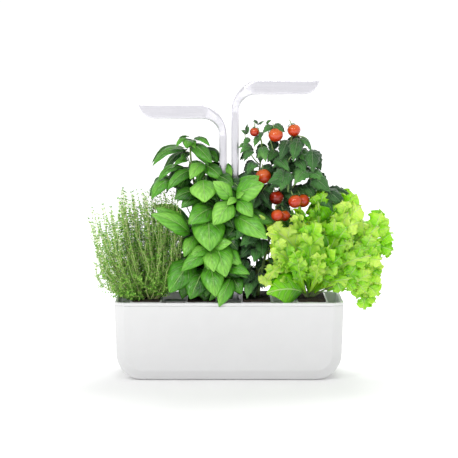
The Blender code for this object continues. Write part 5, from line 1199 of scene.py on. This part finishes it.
def thyme_courses():
    """The sprigs' courses and tones, in three layers. A sprig in the way of the filling flap is
    pushed aside, and left out where that isn't enough."""
    zone = flap_zone()
    for across, down in THYME_TIPS:
        lean = (across - THYME_MIDDLE) / THYME_HALF_SPREAD
        low_share = min(1.0, max(0.0, (down - THYME_TOP) / 80))
        for layer in (-1, 0, 1):
            near = layer * (0.018 + 0.050 * low_share) + luck.uniform(-0.010, 0.010)
            foot_across = THYME_FOOT[0] + 13 * lean + luck.uniform(-2, 2)
            foot_depth = np.clip(near * 0.5 + luck.uniform(-0.014, 0.014), -0.055, 0.055)
            foot = seen(foot_across, THYME_FOOT[1], foot_depth)
            tip = seen(across + luck.uniform(-4, 4), down + luck.uniform(-1, 8), near)
            low = foot * 0.70 + tip * 0.30
            high = foot * 0.30 + tip * 0.70
            for place, push in ((low, 0.008), (high, 0.010)):
                place[0] += push * lean + luck.uniform(-0.007, 0.007)
                place[1] += luck.uniform(-0.006, 0.006)
                place[2] -= 0.012 * abs(lean)
            course = (foot, low, high, tip)
            aside = -1 if near < zone[0][1] + 0.03 else 1
            for _ in range(MOST_PUSHES):
                if not clear_of(zone, course):
                    for place in course:
                        place += (-0.001, aside * 0.006, 0)
            if clear_of(zone, course):
                # Painted shade: the rear layer of sprigs is darker; the sprigs at the left end are
                # lighter.
                tone = 0.5 + (0.14 if across < 122 else 0) - (0.12 if layer > 0 else 0)
                yield course, tone + luck.uniform(-0.08, 0.08)


def flap_zone():
    """The room that the flap sweeps when it opens, with the reach of a sprig's leaves round it."""
    low, high = (np.array(corner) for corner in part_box("fill_flap"))
    swing = high[1] - low[1]
    return low - LEAF_ROOM, np.array([high[0], high[1], low[2] + swing]) + LEAF_ROOM


def clear_of(zone, course):
    places, _ = spline(course, np.linspace(0, 1, 40))
    return not np.any(np.all((places > zone[0]) & (places < zone[1]), axis=1))


SPRIG_LENGTH = 0.165
SPRIG_GIRTH = 0.0013
SPRIG_FORMS = ((20, 0.0054), (23, 0.0058), (26, 0.0048))    # whorls, length of a leaf
SIDE_SHOOTS = 7
THYME_BUNCHES = 6
THYME_MIDDLE = 138          # where the crown stands in the photograph, in pixels
THYME_HALF_SPREAD = 48
THYME_TOP = 188
THYME_FOOT = (146.5, 299)
MOST_PUSHES = 8
LEAF_ROOM = np.array([0.010, 0.012, 0.010])
THYME_TIPS = (
    (92, 216), (96, 209), (99, 219), (104, 206), (100, 232), (98, 247), (101, 256), (97, 262),
    (104, 266), (112, 276), (107, 212), (111, 207), (117, 199), (121, 198), (123, 190), (122, 186),
    (127, 200), (133, 196), (134, 191), (137, 199), (143, 190), (147, 194), (145, 200), (150, 199),
    (154, 196), (158, 190), (163, 188), (168, 190), (173, 193), (178, 197), (115, 216), (119, 222),
    (125, 214), (131, 210), (139, 212), (146, 214), (152, 210), (160, 208), (167, 206), (174, 210),
    (108, 230), (113, 240), (121, 236), (130, 232), (138, 230), (147, 234), (155, 230), (163, 228),
    (171, 226), (178, 226), (106, 248), (116, 256), (124, 252), (134, 254), (142, 250), (150, 256),
    (158, 252), (166, 250), (174, 248), (179, 242), (118, 270), (127, 268), (137, 272), (146, 274),
    (155, 270), (164, 268), (168, 262), (122, 282), (132, 284), (150, 284), (152, 188), (160, 200),
    (166, 196), (171, 201), (176, 204), (181, 208), (156, 218), (164, 218), (172, 218), (180, 218),
    (183, 222), (182, 232), (176, 236), (168, 240), (160, 240), (150, 222), (150, 246), (110, 222),
)


# Soil

def fill_soil():
    """Each pod's potting soil: a lumpy bed and loose crumbs on it."""
    lumps = bpy.data.textures.new("soil_lumps", "CLOUDS")
    lumps.noise_scale = 0.012
    crumb = coated(primitive("ico_sphere", "crumb_pattern", subdivisions=1, radius=0.5),
                   finishes["soil"])
    for number in range(1, 5):
        low, high = (np.array(corner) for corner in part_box(f"soil_{number}"))
        name = f"soil_bed_{number}"
        crumbs = [soil_bed(name, low, high, lumps)]
        for count in range(CRUMBS_PER_POD):
            size = luck.uniform(*CRUMB_SIZES)
            place = np.array([luck.uniform(low[0] + 0.002, high[0] - 0.002),
                              luck.uniform(low[1] + 0.002, high[1] - 0.002),
                              high[2] - luck.uniform(0.0006, 0.0026)])
            way = np.array([luck.uniform(-1, 1), luck.uniform(-1, 1), 0.3])
            crumbs.append(laid(crumb, f"crumb_{number}_{count}",
                               (place, place + way * size * MM * 0.5), size * MM, (0, 0, 1),
                               height=size * MM * luck.uniform(0.5, 0.8)))
        settle(joined(name, crumbs[::-1]), f"soil_{number}")
    discard(crumb)


def soil_bed(name, low, high, lumps):
    """A block of soil with a lumpy top, its edges left where they are."""
    bed = primitive("cube", name, size=1)
    bed.scale = (high - low) * np.array([0.995, 0.995, 1])
    bed.location = (low + high) / 2
    bpy.ops.object.transform_apply(location=True, scale=True)
    edit()
    bpy.ops.mesh.select_mode(type="FACE")
    bpy.ops.mesh.select_all(action="DESELECT")
    bpy.ops.object.mode_set(mode="OBJECT")
    for face in bed.data.polygons:
        face.select = face.normal.z > 0.9
    edit()
    bpy.ops.mesh.subdivide(number_cuts=30)
    pick(bed, lambda place: place.z > high[2] - HAIR
         and low[0] + HAIR < place.x < high[0] - HAIR and low[1] + HAIR < place.y < high[1] - HAIR)
    bpy.ops.object.mode_set(mode="OBJECT")
    group = bed.vertex_groups.new(name="top")
    group.add([corner.index for corner in bed.data.vertices if corner.select], 1.0, "REPLACE")
    apply(bed, "DISPLACE", texture=lumps, strength=0.004, mid_level=0.8, direction="Z",
          vertex_group="top", texture_coords="GLOBAL")
    return coated(bed, finishes["soil"])


CRUMBS_PER_POD = 260
CRUMB_SIZES = (1.2, 3.4)    # millimetres


# Studio and camera

def build_studio():
    floor = primitive("plane", "floor", size=60)
    ground = Finish("studio_floor", (0.93, 0.93, 0.93), 0.8, Emission_Color=(1, 1, 1, 1))
    clouds = ground.noise(3.0)
    ground.tint(ground.ramp(clouds, (0.3, (0.925, 0.925, 0.925)), (0.7, (0.94, 0.94, 0.94))))
    away = ground.add("ShaderNodeVectorMath", operation="LENGTH")
    ground.wire(ground.place.outputs["Object"], away.inputs[0])
    ground.wire(ground.band(away.outputs["Value"], *FLOOR_LIT_FROM_TO, *FLOOR_LIFT),
                ground.shader.inputs["Emission Strength"])
    coated(floor, ground.material)
    world = bpy.data.worlds.new("studio_air")
    bpy.context.scene.world = world
    world.use_nodes = True
    air = world.node_tree
    way = air.nodes.new("ShaderNodeTexCoord")
    parts = air.nodes.new("ShaderNodeSeparateXYZ")
    level = air.nodes.new("ShaderNodeMapRange")
    set_range(level, *AIR_FROM_TO, AIR_IN_FRONT, AIR_BEHIND)
    air.links.new(way.outputs["Generated"], parts.inputs["Vector"])
    air.links.new(parts.outputs["Y"], level.inputs["Value"])
    air.links.new(level.outputs["Result"], air.nodes["Background"].inputs["Strength"])
    air.nodes["Background"].inputs["Color"].default_value = (1, 1, 1, 1)
    for name, place, aim, power, size, gloss in LAMPS:
        lamp = bpy.data.lights.new(name, "AREA")
        lamp.energy, lamp.shape, lamp.size, lamp.size_y = power, "RECTANGLE", size[0], size[1]
        lamp.specular_factor = gloss
        holder = bpy.data.objects.new(name, lamp)
        bpy.context.scene.collection.objects.link(holder)
        holder.location = place
        holder.rotation_euler = (Vector(aim) - Vector(place)).to_track_quat("-Z", "Y").to_euler()


FLOOR_LIT_FROM_TO = (0.25, 1.6)     # metres from the object, where the floor's own light sets in
FLOOR_LIFT = (0.06, 0.55)
AIR_FROM_TO = (-0.8, 0.9)
AIR_IN_FRONT = 0.42
AIR_BEHIND = 1.05
LAMPS = (   # name, place, aim, power, size, gloss
    ("key_lamp", (-1.5, -2.45, 1.9), (0, 0, 0.25), 31, (0.9, 0.7), 1.0),
    ("front_lamp", (0.2, -2.5, 2.3), (0, 0, 0.18), 12, (0.9, 0.7), 0.0),
    ("fill_lamp", (2.2, -1.8, 1.2), (0, 0, 0.25), 4, (1.6, 1.6), 1.0),
    ("rear_lamp", (0.3, 1.7, 2.4), (0, 0, 0.2), 30, (1.6, 1.0), 1.0),
)


def place_camera():
    camera = bpy.data.objects.new("camera", bpy.data.cameras.new("camera"))
    bpy.context.scene.collection.objects.link(camera)
    camera.location = CAMERA_PLACE
    camera.rotation_euler = (math.pi / 2 - CAMERA_PITCH, 0, 0)
    camera.data.lens = CAMERA_LENS
    camera.data.sensor_width = SENSOR_WIDTH
    bpy.context.scene.camera = camera
    bpy.context.scene.view_settings.view_transform = "Standard"


grow_basil()
grow_tomato()
ripen_fruits()
grow_lettuce()
grow_thyme()
fill_soil()
build_studio()
place_camera()
